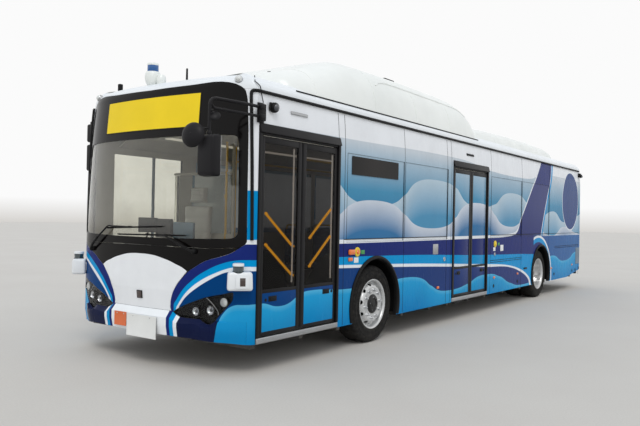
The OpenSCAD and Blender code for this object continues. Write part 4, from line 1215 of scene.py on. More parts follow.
# The black mask under the glass, and round it
mask_low_half = [(0.0, 1.109)] + [(s, z + 0.003) for s, z in smooth_line(SHIELD_TOP, 0.03)[1:]] + [(s
    - 0.001, z + 0.002) for s, z in navy_edge if 0.655 < s and z < 1.195] + milli(1175, 1201, 1000, 1193,
    840, 1188, 400, 1192, 0, 1194)
lower_mask = slab([[whole(mask_low_half)]], 0.006, 0.002)
finish(lower_mask, "front_lower_mask", mask_black, "black_trim", 30, ("front_mask",))

frit_half = milli(0, 1197, 400, 1195, 840, 1191, 1000, 1196, 1178, 1204.5) + [(s - 0.002, z + 0.002)
    for s, z in navy_edge if z > 1.20] + smooth_line(MASK_TOP, 0.06)
surround = slab([[whole(frit_half), list(reversed(whole(smooth_line(CLEAR, 0.04))))]], 0.006, 0.002,
    out=0.001)
finish(surround, "windscreen_surround", mask_black, "black_trim", 30)
grown = [(s + 0.012 if s > 1.0 else s, z + (0.010 if z > 2 else -0.010)) for s, z in CLEAR]
screen = slab([[whole(smooth_line(grown, 0.06))]], 0.006, 0, out=-0.0055)
finish(screen, "windscreen_glass", clear_glass, "clear_glass", 60, ("windscreen",))


def molding(s0, s1, z0, z1, low=0.0, high=0.006, bevel=0.002, across=None, place=skin, segments=3):
    """A raised strip or small plate lying on the skin, from depth low to high over it."""
    piece = block((s0, z0, low), (s1, z1, high), bevel, segments)
    if across is None:
        across = [v for v in ROUND_S if min(abs(s0), abs(s1)) < 1.4]
    slices(piece, across, [])
    return lay(piece, 0.0, place)


def tray(loop, depth, wall=0.002):
    """A sunk tray with upright sides, open to the front, laid on the skin."""
    piece = relief([[loop]], None, LAMP_ROWS)
    face_up(piece)
    for v in piece.data.vertices:
        v.co.z = -depth

    def raise_sides():
        bpy.ops.mesh.select_mode(type="EDGE")
        bpy.ops.mesh.select_all(action="DESELECT")
        bpy.ops.mesh.select_non_manifold()
        bpy.ops.mesh.extrude_edges_move(TRANSFORM_OT_translate={"value": (0, 0, depth - 0.001)})

    edit(piece, raise_sides, outward)
    up_facing = max(piece.data.polygons, key=lambda f: f.area if abs(f.normal.z) > 0.9 else 0)
    if up_facing.normal.z < 0:
        edit(piece, bpy.ops.mesh.flip_normals)
    settle(piece, ("SOLIDIFY", {"thickness": wall, "offset": -1}))
    return lay(piece)


def skin_out(s, z):
    """The skin's outward direction at a place."""
    return (skin(s, z, 0.1) - skin(s, z, 0.0)).normalized()


def round_lamp(s, z, radius, depth, kind):
    """One round lamp: a dark sleeve, a bright bowl, and a clear or dark centre."""
    axis = (skin_out(s, z) * 0.35 + Vector((1, 0, 0)) * 0.65).normalized()
    centre = skin(s, z, -depth)
    sleeve = turned([(radius + 0.012, -0.012), (radius + 0.012, 0.010), (radius + 0.006, 0.016),
        (radius, 0.012), (radius, -0.012), (radius + 0.012, -0.012)], centre, axis, 40)
    finish(sleeve, f"{kind}_sleeve", lamp_case, "lamp", 40)
    bowl = turned([(radius - 0.001, 0.008), (radius * 0.86, -0.001), (radius * 0.62, -0.009),
        (radius * 0.45, -0.012), (radius * 0.43, -0.006), (radius * 0.40, -0.012), (0.0, -0.013),
        (0.0, -0.016), (radius * 0.7, -0.013), (radius - 0.001, 0.004), (radius - 0.001, 0.008)], centre,
        axis, 40)
    finish(bowl, f"{kind}_bowl", bright, "lamp", 40)
    if kind.startswith("head"):
        ball = turned([(0.0, 0.010), (radius * 0.24, 0.007), (radius * 0.40, -0.001),
            (radius * 0.44, -0.010), (0.0, -0.012)], centre, axis, 32)
        finish(ball, f"{kind}_lens", lens_dark, "lamp", 50)
    else:
        dome = turned([(0.0, 0.016), (radius * 0.5, 0.014), (radius * 0.85, 0.009), (radius - 0.001, 0.003),
            (radius - 0.001, 0.0), (0.0, 0.010)], centre, axis, 40)
        finish(dome, f"{kind}_lens", pale_lens, "lamp", 50)


lens_dark = finish_of("lamp_ball_lens", rgb(58, 60, 66), 0.05, peel=None, Coat_Weight=1.0)
lamp_outline = smooth_line(LAMP_TOP, 0.015) + list(reversed([(s, z + 0.002) for s, z in LAMP_LOW]))[1:]
for side, sign in SIDES:
    outline = lamp_outline if sign > 0 else mirrored(lamp_outline)
    finish(tray(outline, 0.034), f"headlamp_case_{side}", lamp_case, "lamp", 40,
        ("lamps",) if sign > 0 else ())
    for name, s, z, r in (("headlamp_inner", 0.736, 0.585, 0.042), ("headlamp_outer", 0.907, 0.607, 0.043),
            ("turn_lamp", 1.048, 0.690, 0.043)):
        round_lamp(s * sign, z, r, 0.018, f"{name}_{side}")
    rib = [skin(sign * s, z, -0.012) for s, z in milli(862, 722, 905, 690, 955, 640, 985, 600, 990, 568)]
    finish(pipe(flowing(rib, 0.01), 0.0028, 0.01, 8), f"headlamp_rib_{side}", silver, "lamp", 60)
    cover = slab([[outline]], 0.002, 0, out=-0.001, upward=LAMP_ROWS)
    finish(cover, f"headlamp_cover_{side}", lens_glass, "lamp", 40)

# The blank sign over the windscreen, and its frame
frame_half = rounded_box(-0.714, 0.714, 2.346, 2.694, 0.014)
finish(slab([[frame_half]], 0.004, 0.0015, out=0.004), "sign_frame", trim_black, "black_trim")
finish(slab([[rounded_box(-0.702, 0.702, 2.358, 2.682, 0.006)]], 0.003, 0.001, out=0.0065), "sign_panel",
    sign_yellow, "lamp")

# The small sensor in the middle, and the plates
finish(molding(-0.041, 0.041, 0.656, 0.736, -0.002, 0.010, 0.006), "front_sensor_case", trim_black,
    "sensor")
finish(molding(-0.033, 0.033, 0.664, 0.728, 0.009, 0.0115, 0.002), "front_sensor_window", sensor_window,
    "sensor")
PLATE_X = skin(0.081, 0.44, 0.0).x + 0.009


def plate(name, y0, y1, z0, z1, material, x):
    """A blank number plate with a pressed rim, on a holder, with two screws."""
    holder = block((x - 0.012, y0 + 0.01, z0 + 0.01), (x, y1 - 0.01, z1 - 0.01), 0.003)
    finish(holder, name + "_holder", trim_black, "black_trim")
    sheet = block((x, y0, z0), (x + 0.0025, y1, z1), 0)
    choose(sheet, lambda c, n: n.x > 0.9)
    bpy.ops.mesh.inset(thickness=0.006)
    bpy.ops.mesh.inset(thickness=0.003)
    bpy.ops.transform.translate(value=(-0.0012, 0, 0))
    leave()
    settle(sheet, rounded(0.0008, 2, 30))
    finish(sheet, name, material, "lamp")
    for k, y in enumerate((y0 + 0.22 * (y1 - y0), y1 - 0.22 * (y1 - y0))):
        screw = turned(milli(0, 3, 5, 2.4, 7, 0.8, 7, 0, 0, 0), (x + 0.0013, y, z1 - 0.018), (1, 0, 0), 16)
        finish(screw, f"{name}_screw_{k}", bright, "lamp")


plate("front_plate", -0.139, 0.301, 0.276, 0.496, plate_white, PLATE_X)
plate("permit_plate", -0.338, -0.150, 0.361, 0.503, plate_orange, PLATE_X - 0.004)

# Wipers
def wiper(name, pivot, knee, blade, grip):
    """A wiper: pivot cap, arm with its knee, and a blade on two hangers. Places are (s, z)."""
    hub = turned(milli(0, 40, 12, 39, 21, 34, 26, 24, 27, -6, 0, -6), skin(*pivot, 0.0), skin_out(*pivot),
        28)
    first = [skin(*pivot, 0.030)] + [skin(pivot[0] + (knee[0] - pivot[0]) * t,
        pivot[1] + (knee[1] - pivot[1]) * t, 0.036 + 0.014 * sin(t * pi)) for t in (0.25, 0.5, 0.75)]
    path = first + [skin(*knee, 0.040)]
    n = 6
    for k in range(1, n + 1):
        t = k / n
        s, z = knee[0] + (grip[0] - knee[0]) * t, knee[1] + (grip[1] - knee[1]) * t
        path.append(skin(s, z, 0.040 - 0.006 * t))
    arm = pipe(flowing(path, 0.03), 0.0085, 0.03, 12)
    spring = pipe(flowing(first[:3], 0.03), 0.0135, 0.03, 12)
    finish(joined(hub, arm, spring), name + "_arm", trim_black, "black_trim", 40)
    (s0, z0), (s1, z1) = blade
    rail = []
    for k in range(25):
        t = k / 24
        rail.append(skin(s0 + (s1 - s0) * t, z0 + (z1 - z0) * t, 0.020 + 0.010 * sin(pi * t)))
    spine = pipe(rail, 0.0065, 0.01, 8)
    lip_path = [skin(s0 + (s1 - s0) * k / 24, z0 + (z1 - z0) * k / 24 - 0.004, 0.008) for k in range(25)]
    lip = pipe(lip_path, 0.0075, 0.01, 8)
    clip = block((-0.018, -0.010, 0.016), (0.018, 0.012, 0.048), 0.004)
    moved(clip, facing(skin(*grip, 0.0), skin_out(*grip)))
    finish(joined(spine, lip, clip), name + "_blade", rubber, "rubber", 40)


wiper("wiper_right", (-0.874, 1.118), (-0.502, 1.372), ((-0.560, 1.352), (0.300, 1.386)), (-0.130, 1.368))
wiper("wiper_left", (0.723, 1.157), (0.372, 1.301), ((-0.348, 1.292), (0.620, 1.306)), (0.136, 1.300))
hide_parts("wipers")

# Rain gutters with the down-pipe at their front ends
for side, sign in SIDES:
    run = [skin(sign * s, 2.690, 0.012) for s in (1.325, 1.40, 2.0, 12.82)]
    path = [skin(sign * 1.302, 1.276, 0.010), skin(sign * 1.298, 1.6, 0.010),
        skin(sign * 1.292, 2.0, 0.010), skin(sign * 1.284, 2.4, 0.011), skin(sign * 1.279, 2.600, 0.012),
        skin(sign * 1.280, 2.668, 0.013), skin(sign * 1.295, 2.687, 0.013)] + run
    finish(pipe(path, 0.0165, 0.05, 12), f"gutter_{side}", trim_black, "black_trim", 50, ("rain_gutters",)
        if sign > 0 else ())


# Sensor pods on the front corners
def sensor_pod(side, sign):
    turn = Matrix.Translation((5.700, sign * 1.265, 0)) @ spun(sign * 45, "Z")

    def placed(piece, *rest):
        piece.matrix_world = turn @ piece.matrix_world
        return finish(piece, *rest)

    case = block((-0.165, -0.128, 0.815), (0.0, 0.128, 0.988), 0)
    pinch(case, lambda c, n: n.z > 0.9, (0.86, 0.88, 1), (-0.08, 0, 0.988))
    pinch(case, lambda c, n: n.z < -0.9, (0.92, 0.93, 1), (-0.08, 0, 0.815))
    settle(case, rounded(0.026, 5, 30))
    placed(case, f"sensor_pod_case_{side}", sensor_white, "sensor", 40)
    t0 = 0.022 * sign
    lid = block((-0.002, -0.062 + t0, 0.838), (0.0035, 0.062 + t0, 0.950), 0.003)
    placed(lid, f"sensor_pod_lid_{side}", sensor_white, "sensor")
    pane = block((0.0025, t0 - 0.024, 0.860), (0.0055, t0 + 0.026, 0.936), 0.002)
    placed(pane, f"sensor_pod_window_{side}", sensor_window, "sensor")
    mid = (-0.068, -0.016 * sign, 0)
    scanner = turned(milli(0, 978, 56, 978, 56, 994, 51.5, 997, 50, 1000, 50.5, 1040, 0, 1040), mid,
        (0, 0, 1), 48)
    placed(scanner, f"scanner_window_{side}", sensor_teal, "sensor")
    cap = turned(milli(0, 1039.5, 51.5, 1039.5, 53.5, 1042, 53.5, 1058, 50, 1065.5, 30, 1069, 0, 1070), mid,
        (0, 0, 1), 48)
    placed(cap, f"scanner_cap_{side}", sensor_white, "sensor")
    foot = block((-0.26, -0.075, 0.842), (-0.13, 0.075, 0.950), 0.012)
    placed(foot, f"sensor_pod_foot_{side}", sensor_white, "sensor")


sensor_pod("left", 1)
sensor_pod("right", -1)
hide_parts("sensor_pods")


# Mirrors
def housing(low, high, name, soft=0.030):
    """A mirror housing with soft edges, fuller in front, and the silvered pane on its back."""
    case = block(low, high, 0)
    mid = [(a + b) / 2 for a, b in zip(low, high)]
    pinch(case, lambda c, n: n.x > 0.9, (1, 0.90, 0.94), (high[0], mid[1], mid[2]))
    settle(case, rounded(soft, 5, 30))
    finish(case, name, mirror_case, "mirror_black", 40)
    pane = block((low[0] - 0.003, low[1] + 0.018, low[2] + 0.02), (low[0] + 0.004, high[1] - 0.018,
        high[2] - 0.02), 0.002)
    finish(pane, name + "_glass", bright, "mirror_black")


ARM_X = 6.070
arm_top = pipe([(5.455, 1.272, 2.530), (5.70, 1.262, 2.532), (ARM_X, 1.200, 2.535), (ARM_X, 1.200, 2.190)],
    0.0150, 0.075, 16)
arm_low = pipe([(5.455, 1.272, 2.440), (5.70, 1.262, 2.441), (ARM_X - 0.045, 1.206, 2.446),
    (ARM_X, 1.200, 2.500)], 0.0135, 0.03, 16)
bracket = block((5.418, 1.250, 2.400), (5.490, 1.300, 2.560), 0.010)
plate_back = block((5.405, 1.249, 2.385), (5.500, 1.262, 2.575), 0.006)
clamps = [block((5.437, 1.262, z - 0.022), (5.500, 1.306, z + 0.022), 0.008) for z in (2.440, 2.530)]
collar = turned(milli(0, 0, 21, 0, 23, 4, 23, 40, 19, 46, 0, 46), (ARM_X, 1.200, 2.196), (0, 0, 1), 24)
finish(joined(bracket, plate_back, arm_top, arm_low, collar, *clamps), "mirror_arm_left", mirror_case,
    "mirror_black", 40, ("mirror_left",))
housing((6.015, 1.090, 1.840), (6.125, 1.310, 2.215), "mirror_housing_left")


def round_mirror(name, centre, axis, radius, deep):
    """A round mirror with a domed back; axis points to the back."""
    shell = turned([(0, deep), (radius * 0.35, deep * 0.95), (radius * 0.70, deep * 0.72),
        (radius * 0.92, deep * 0.38), (radius, 0.004), (radius * 0.985, -0.002), (radius * 0.95, -0.003),
        (0, -0.003)], centre, axis, 48)
    finish(shell, name, mirror_case, "mirror_black", 40)
    face = turned([(0, -0.009), (radius * 0.5, -0.0075), (radius * 0.93, -0.003), (radius * 0.93, -0.002),
        (0, -0.002)], centre, axis, 48)
    finish(face, name + "_glass", bright, "mirror_black", 40)


round_mirror("round_mirror_left", (6.165, 1.100, 2.200), (0.92, 0.25, 0.10), 0.112, 0.045)
round_mirror("small_mirror_left", (6.035, 1.228, 2.375), (0.55, 0.45, 0.55), 0.052, 0.022)
stalks = joined(pipe([(6.200, 1.110, 2.210), (6.170, 1.150, 2.262), (ARM_X, 1.200, 2.262)], 0.007, 0.03,
    10), pipe([(6.045, 1.235, 2.385), (6.066, 1.205, 2.425)], 0.007, 0.01, 10),
    sphere((6.199, 1.109, 2.208), 0.013), sphere((6.060, 1.212, 2.420), 0.016))
finish(stalks, "mirror_stalks_left", mirror_case, "mirror_black", 60)

for name, z0, z1 in (("upper", 2.320, 2.540), ("lower", 1.985, 2.306)):
    housing((5.367, -1.379, z0), (5.482, -1.268, z1), f"mirror_{name}_right", 0.022)
arm_right = joined(pipe([(5.455, -1.272, 2.530), (5.44, -1.300, 2.560), (5.432, -1.320, 2.500),
    (5.432, -1.320, 2.18)], 0.014, 0.02, 14), block((5.418, -1.300, 2.400), (5.490, -1.250, 2.560), 0.010))
finish(arm_right, "mirror_arm_right", mirror_case, "mirror_black", 40, ("mirror_right",))

# The camera over the door and the lamp beside it
camera_case = turned(milli(0, 0, 48, 0, 50, 6, 50, 30, 46, 40, 36, 52, 0, 52), (5.262, 1.250, 2.556),
    (0.15, 1, -0.12), 36)
finish(camera_case, "door_camera_case", trim_black, "sensor", 40)
finish(sphere((5.270, 1.296, 2.551), 0.034, (1, 0.8, 1)), "door_camera_dome", lens_dark, "sensor", 60)
finish(block((5.230, 1.249, 2.515), (5.330, 1.270, 2.600), 0.012), "door_camera_foot", trim_black, "sensor")
finish(molding(1.855, 2.137, 2.533, 2.566, -0.002, 0.014, 0.011, [], segments=5), "door_lamp", silver,
    "lamp", 40)


# The sides
def side_strip(s0, s1, z0, z1, low=-0.001, high=0.0012, bevel=0.0005, sign=1, segments=1):
    """A strip on a side wall; tall ones are cut to follow its curve."""
    rows = [v for v in (2.24, 2.30, 2.36, 2.42, 2.48, 2.54, 2.60, 2.66) if z0 < v < z1]
    piece = block((s0, z0, low), (s1, z1, high), bevel, segments)
    slices(piece, [], rows)
    piece = lay(piece)
    if sign < 0:
        only(piece)
        bpy.ops.transform.mirror(constraint_axis=(False, True, False), center_override=(0, 0, 0))
        edit(piece, outward)
    return piece


def arch_top(s, grow=0.040):
    """Height of the arch over a place on the side, or none."""
    for x in (AXLE_F + 0.015, AXLE_R):
        d = abs(SIDE_END - x - s)
        if d < ARCH_R + grow:
            return HUB_Z + sqrt((ARCH_R + grow) ** 2 - d * d)
    return None


SEAMS = [2.726, 2.854, 4.267, 5.571, 5.716, 7.295, 8.833, 10.53, 12.805]
RIGHT_SEAMS = [1.44, 1.56, 2.745, 2.854, 4.267, 5.610, 7.283, 8.833, 10.53, 12.805]
for side, sign, seams in (("left", 1, SEAMS), ("right", -1, RIGHT_SEAMS)):
    strips = []
    for s in seams:
        low = arch_top(s)
        strips.append(side_strip(s - 0.0035, s + 0.0035, low or 0.300, 2.664, sign=sign))
    for s0, s1 in ((2.854, 5.571), (7.295, 12.805)) if sign > 0 else ((2.854, 12.805),):
        strips.append(side_strip(s0, s1, 1.2565, 1.2655, sign=sign))
    for a, b in ((7.300, 8.870), (10.94, 12.80)) if sign > 0 else ((5.8, 7.28), (10.94, 12.80)):
        z = 0.835 if a < 10 else 0.985
        strips.append(side_strip(a, b, z, z + 0.007, -0.001, 0.004, 0.001, sign))
        strips.append(side_strip(a, b, z - 0.032, z - 0.025, -0.001, 0.004, 0.001, sign))
    for s0, s1, z0, z1 in ((2.905, 4.247, 1.275, 2.240), (4.287, 5.596, 1.275, 2.240),
            (7.302, 8.813, 1.275, 2.240), (8.853, 10.507, 1.275, 2.240)) + (((5.636, 7.262, 1.275, 2.240),
            (1.585, 2.725, 1.000, 2.240)) if sign < 0 else ()):
        for a, b in ((s0 - 0.003, s0 + 0.003), (s1 - 0.003, s1 + 0.003)):
            strips.append(side_strip(a, b, z0 - 0.02, z1, sign=sign))
    finish(joined(*strips), f"panel_seams_{side}", rubber, "rubber", 30)

glowing_pale_strip = finish_of("door_edge_pale_painted_glow", rgb(206, 206, 198), 0.4, peel=(300.0, 0.05))
# The pale strips inside the door leaves glow though they are no lamp: painted light that lifts them behind
# the tinted glass.
glowing(glowing_pale_strip, rgb(206, 206, 198), 0.6)
# The dark slot glass is lighter across its middle: a painted reflection in its colour.
painted_reflection_slot_glass = finish_of("dark_slot_glass_painted_reflection", rgb(14, 13, 12), 0.05, peel=(40.0, 0.02),
    paint=lambda t: ramp(t, scaled(t, object_place(t)[0], 2.7, 3.85),
    [(0.0, rgb(10, 9, 9)), (0.55, rgb(34, 30, 28)), (1.0, rgb(20, 19, 18))]), Specular_IOR_Level=0.12)
finish(side_strip(2.997, 4.092, 2.000, 2.213, -0.002, 0.0022, 0.0015), "slot_window_left", painted_reflection_slot_glass,
    "clear_glass")


def on_wall(piece, s, z, sign=1, out=0.0):
    """Moves a piece made at the origin, facing +Z, onto a side wall."""
    p = skin(s, z, out)
    p.y *= sign
    return moved(piece, Matrix.Translation(p) @ spun(-90 * sign, "X"))


def pill(name, s, z, long, high, thick, material, slot, sign=1, out=0.0):
    """A small rounded fitting on a side wall."""
    piece = block((-long / 2, -high / 2, -0.002), (long / 2, high / 2, thick), 0)
    settle(piece, rounded(min(long, high, 2 * thick) * 0.45, 4, 30))
    return finish(on_wall(piece, s, z, sign, out), name, material, slot, 50)


def button(name, s, z, radius, thick, material, slot, sign=1, dish=0.0, out=0.0):
    """A small round fitting, domed or dished."""
    profile = [(0, thick - dish), (radius * 0.55, thick - dish * 0.8), (radius * 0.75, thick),
        (radius * 0.93, thick * 0.8), (radius, thick * 0.35), (radius, -0.002), (0, -0.002)]
    return finish(on_wall(turned(profile, (0, 0, 0), (0, 0, 1), 32), s, z, sign, out), name, material, slot,
        40)


def fuel_flap(name, s0, s1, z0, z1, sign, material):
    piece = side_strip(s0, s1, z0, z1, -0.002, 0.0035, 0.0015, sign, 2)
    return finish(piece, name, material, "body_paint")


for side, sign in SIDES:
    pill("turn_lamp_front_" + side, 3.005, 1.114, 0.125, 0.062, 0.030, orange_lens, "lamp", sign)
    if sign > 0:

        pill("marker_small_" + side, 2.990, 1.032, 0.085, 0.042, 0.018, orange_lens, "lamp", sign)
        for k, (s, g, plate_s, plate_z) in enumerate(((3.140, 3.265, 3.122, 1.018),
                (7.504, 7.674, 7.479, 1.024))):
            button(f"valve_ring_{k}", s, 1.112, 0.056, 0.014, yellow_mark, "lamp", sign, 0.004)
            button(f"valve_knob_{k}", s, 1.112, 0.028, 0.022, orange_lens if k == 0 else yellow_mark,
                "lamp", sign)
            pill(f"valve_mark_{k}", g, 1.106, 0.075, 0.048, 0.004, green_label, "lamp", sign)
            pill(f"valve_card_{k}", plate_s, plate_z, 0.095, 0.062, 0.003, plate_white, "lamp", sign)
        fuel_flap("service_plate_left", 5.129, 5.295, 1.014, 1.159, sign, silver)
        pill("card_plate_left", 7.830, 1.037, 0.14, 0.105, 0.003, plate_white, "lamp", sign)
        button("lock_front_left", 5.505, 0.935, 0.034, 0.010, silver, "lamp", sign, 0.003)
        button("lock_mid_left", 7.492, 0.941, 0.030, 0.010, silver, "lamp", sign, 0.003)
        finish(side_strip(6.262, 6.540, 2.500, 2.533, -0.002, 0.012, 0.010, 1, 4), "door_lamp_mid",
            trim_black, "lamp", 40)
    else:

        fuel_flap("charge_flap", 9.02, 9.30, 0.94, 1.20, sign, paint_side)
        button("charge_lock", 9.055, 1.07, 0.014, 0.006, silver, "lamp", sign, 0.002)
        fuel_flap("battery_flap", 4.40, 5.45, 0.42, 0.98, sign, paint_side)
    for k, (s, z) in enumerate(((5.301, 0.541), (7.478, 0.549), (8.645, 0.549), (10.721, 0.541),
            (12.287, 0.544))):
        pill(f"side_marker_{side}_{k}", s, z, 0.070, 0.036, 0.012, orange_lens, "lamp", sign)
    for k, (s, z) in enumerate(((7.469, 0.407), (8.652, 0.408), (10.928, 0.410), (12.310, 0.409),
            (12.579, 0.415), (12.878, 0.442))):
        button(f"jack_cap_{side}_{k}", s, z, 0.030, 0.006, trim_black, "rubber", sign, 0.002)
    pill("cab_step_pill_" + side, 9.07, 0.624, 0.17, 0.030, 0.014, trim_black, "black_trim", sign)


def louvre(name, s0, s1, z0, z1, sign, slats=14):
    """A grille of slanted slats in a frame on a side wall."""
    parts = [side_strip(s0, s1, z0, z1, -0.002, 0.0012, 0, sign)]
    for a, b, c, d in ((s0 - 0.012, s1 + 0.012, z1 - 0.002, z1 + 0.012),
            (s0 - 0.012, s1 + 0.012, z0 - 0.012, z0 + 0.002), (s0 - 0.012, s0 + 0.002, z0, z1),
            (s1 - 0.002, s1 + 0.012, z0, z1)):
        parts.append(side_strip(a, b, c, d, -0.002, 0.006, 0.0015, sign))
    step = (z1 - z0) / slats
    for k in range(slats):
        z = z0 + step * (k + 0.5)
        slat = block((-(s1 - s0) / 2, -0.0015, -step * 0.42), ((s1 - s0) / 2, 0.0015, step * 0.42), 0.001,
            1)
        parts.append(moved(slat, Matrix.Translation((SIDE_END - (s0 + s1) / 2, sign * (HALF + 0.005), z))
            @ spun(32 * sign, "X")))
    return finish(joined(*parts), name, louvre_grey, "black_trim", 30)


louvre_grey = finish_of("grille_grey", rgb(104, 128, 148), 0.45, 0.2, 1.0, peel=(400.0, 0.1))
louvre("rear_grille_left", 12.585, 12.875, 0.560, 0.907, 1)
louvre("rear_grille_right", 12.585, 12.875, 0.560, 0.907, -1)
louvre("motor_grille_right", 11.10, 12.30, 0.50, 0.92, -1, 16)
camera_rear = joined(block((-6.020, 1.240, 2.545), (-5.900, 1.285, 2.640), 0.014),
    turned(milli(0, 0, 40, 0, 42, 10, 40, 45, 30, 52, 0, 52), (-5.960, 1.262, 2.585), (0.1, 1, -0.35), 28))
finish(camera_rear, "rear_corner_camera", trim_black, "sensor", 40)
finish(sphere((-5.954, 1.316, 2.566), 0.027, (1, 0.7, 1)), "rear_corner_camera_lens", lens_dark, "sensor",
    60)


# Doors
def leaf_face(s, z, out=0.0):
    return Vector((SIDE_END - s, 1.242 + out, z))


def leaf_plate(s0, s1, z0, z1, low, high, bevel=0.002, segments=3):
    piece = block((s0, z0, low), (s1, z1, high), bevel, segments)
    return lay(piece, 0.0, leaf_face)


for which, start in DOORS.items():
    shift = start - DOORS["front"]
    film = which == "mid"
    for leaf, s0, s1, trail in (("a", 1.417, 2.052, 1), ("b", 2.070, 2.706, -1)):
        s0, s1 = s0 + shift, s1 + shift
        body = f"{which}_leaf_{leaf}"
        tag = f"{which}_{leaf}"
        wide = 0.060
        p0, p1 = (s0 + 0.046, s1 - wide) if trail > 0 else (s0 + wide, s1 - 0.046)
        edge0, edge1 = (s1 - wide, s1 - 0.002) if trail > 0 else (s0 + 0.002, s0 + wide)
        outer0, outer1 = (s0 + 0.004, s0 + 0.046) if trail > 0 else (s1 - 0.046, s1 - 0.004)
        rail0, rail1 = p0 - 0.004, p1 + 0.004
        black = (door_black, "door_black")
        for part, a, b, z0, z1, low, high, bevel, look in (("stile", edge0, edge1, 0.375, 2.262, -0.004,
                0.0045, 0.004, black), ("stile_hinge", outer0, outer1, 0.375, 2.262, -0.004, 0.003, 0.003,
                black), ("rail_top", rail0, rail1, 2.205, 2.262, -0.004, 0.003, 0.003, black),
                ("panel", p0, p1, 0.395, 0.765, -0.003, 0.0030, 0.0025, (paint_side, "body_paint")),
                ("rail_mid", rail0, rail1, 0.765, 0.800, -0.004, 0.0026, 0.002, black),
                ("rail_low", rail0, rail1, 0.360, 0.396, -0.004, 0.0026, 0.002, black),
                ("film", p0 + 0.002, p1 - 0.002, 0.800, 2.206, -0.004, 0.0012, 0.001,
                (film_glass, "film_glass"))):
            if film or part != "film":
                finish(leaf_plate(a, b, z0, z1, low, high, bevel), f"door_{part}_{tag}", *look, body=body)
        handle_s = (p0 + 0.155) if leaf == "a" else (p1 - 0.135)
        bezel = leaf_plate(handle_s - 0.062, handle_s + 0.062, 0.680, 0.732, 0.002, 0.0065, 0.004)
        grip = leaf_plate(handle_s - 0.046, handle_s + 0.046, 0.694, 0.718, 0.004, 0.0125, 0.006, 4)
        lock = turned(milli(0, 9, 12, 8, 15, 4, 15, 0, 0, 0),
            leaf_face(handle_s - 0.105 if leaf == "a" else handle_s + 0.105, 0.700, 0.002), (0, 1, 0), 24)
        finish(joined(bezel, grip, lock), f"door_handle_{tag}", trim_black, "black_trim", 40, body=body)
        if not film:
            mid_s = p1 - (0.046 if leaf == "a" else 0.024)
            finish(leaf_plate(mid_s - 0.0055, mid_s + 0.0055, 0.84, 2.19, -0.030, -0.014, 0.003),
                f"door_inner_strip_{tag}", glowing_pale_strip, "rail_yellow", body=body)
            a, b = ((1.535, 1.531), (1.975, 1.205)) if leaf == "a" else ((2.681, 1.588), (2.261, 1.287))
            c, d = ((1.540, 1.230), (1.975, 0.910)) if leaf == "a" else ((2.681, 1.295), (2.261, 0.988))
            a, b, c, d = [(max(p0 + 0.012, min(p1 - 0.024, q[0])), q[1]) for q in (a, b, c, d)]
            bars = []
            for p, q in ((a, b), (c, d)):
                bars.append(pipe([leaf_face(*p, -0.037), leaf_face(*q, -0.037)], 0.0125, 0.01, 12))
                bars += [turned(milli(0, 0, 15.5, 0, 15.5, 6, 10, 12, 10, 22, 0, 22), leaf_face(*r, -0.040),
                    (0, 1, 0), 16) for r in (p, q)]
            finish(joined(*bars), f"door_bars_{tag}", glowing_yellow_bar, "rail_yellow", 40, body=body)
    s0, s1 = CORNER_S + shift, DOOR_END_S + shift
    hood = block((SIDE_END - s1 + 0.004, 1.236, 2.298), (SIDE_END - s0 - 0.004, 1.282, 2.388), 0)
    pinch(hood, lambda c, n: n.z > 0.9, (1, 0.45, 1), (0, 1.236, 2.388))
    settle(hood, rounded(0.008, 4, 30))
    finish(hood, f"door_hood_{which}", door_black, "door_black", 40)
    posts = [lay(block((a, 0.352, -0.02), (b, 2.300, 0.014), 0.005)) for a, b in ((s0 + 0.001, s0 + 0.040),
        (s1 - 0.040, s1 - 0.001))]
    finish(joined(*posts), f"door_posts_{which}", door_black, "door_black")
    sill = block((SIDE_END - s1 + 0.006, 1.150, 0.292), (SIDE_END - s0 - 0.006, 1.262, 0.348), 0.006)
    ribs = [block((SIDE_END - s1 + 0.02, 1.259, z), (SIDE_END - s0 - 0.02, 1.2655, z + 0.006), 0.002, 1)
        for z in (0.304, 0.318, 0.332)]
    finish(joined(sill, *ribs), f"door_sill_{which}", silver, "frame_steel")
    if start > 1:
        boot = block((SIDE_END - s0 - 0.34, 1.256, 0.262), (SIDE_END - s0 - 0.05, 1.266, 0.292), 0.003)
        finish(boot, "step_light_mid", trim_black, "black_trim")


# Roof
def dome_lamp(name, s, z, radius=0.031):
    axis = (skin_out(s, z) + Vector((0, 0, 0.4))).normalized()

    base = turned([(0, 0.010), (radius * 1.18, 0.010), (radius * 1.25, 0.004), (radius * 1.25, -0.030),
        (0, -0.030)], skin(s, z), axis, 32)
    finish(base, name + "_base", silver, "lamp", 40)
    lens_cap = turned([(0, radius * 0.85 + 0.008), (radius * 0.5, radius * 0.72 + 0.008),
        (radius * 0.87, radius * 0.40 + 0.008), (radius, 0.008), (0, 0.006)], skin(s, z), axis, 32)
    finish(lens_cap, name, pale_lens, "lamp", 60)


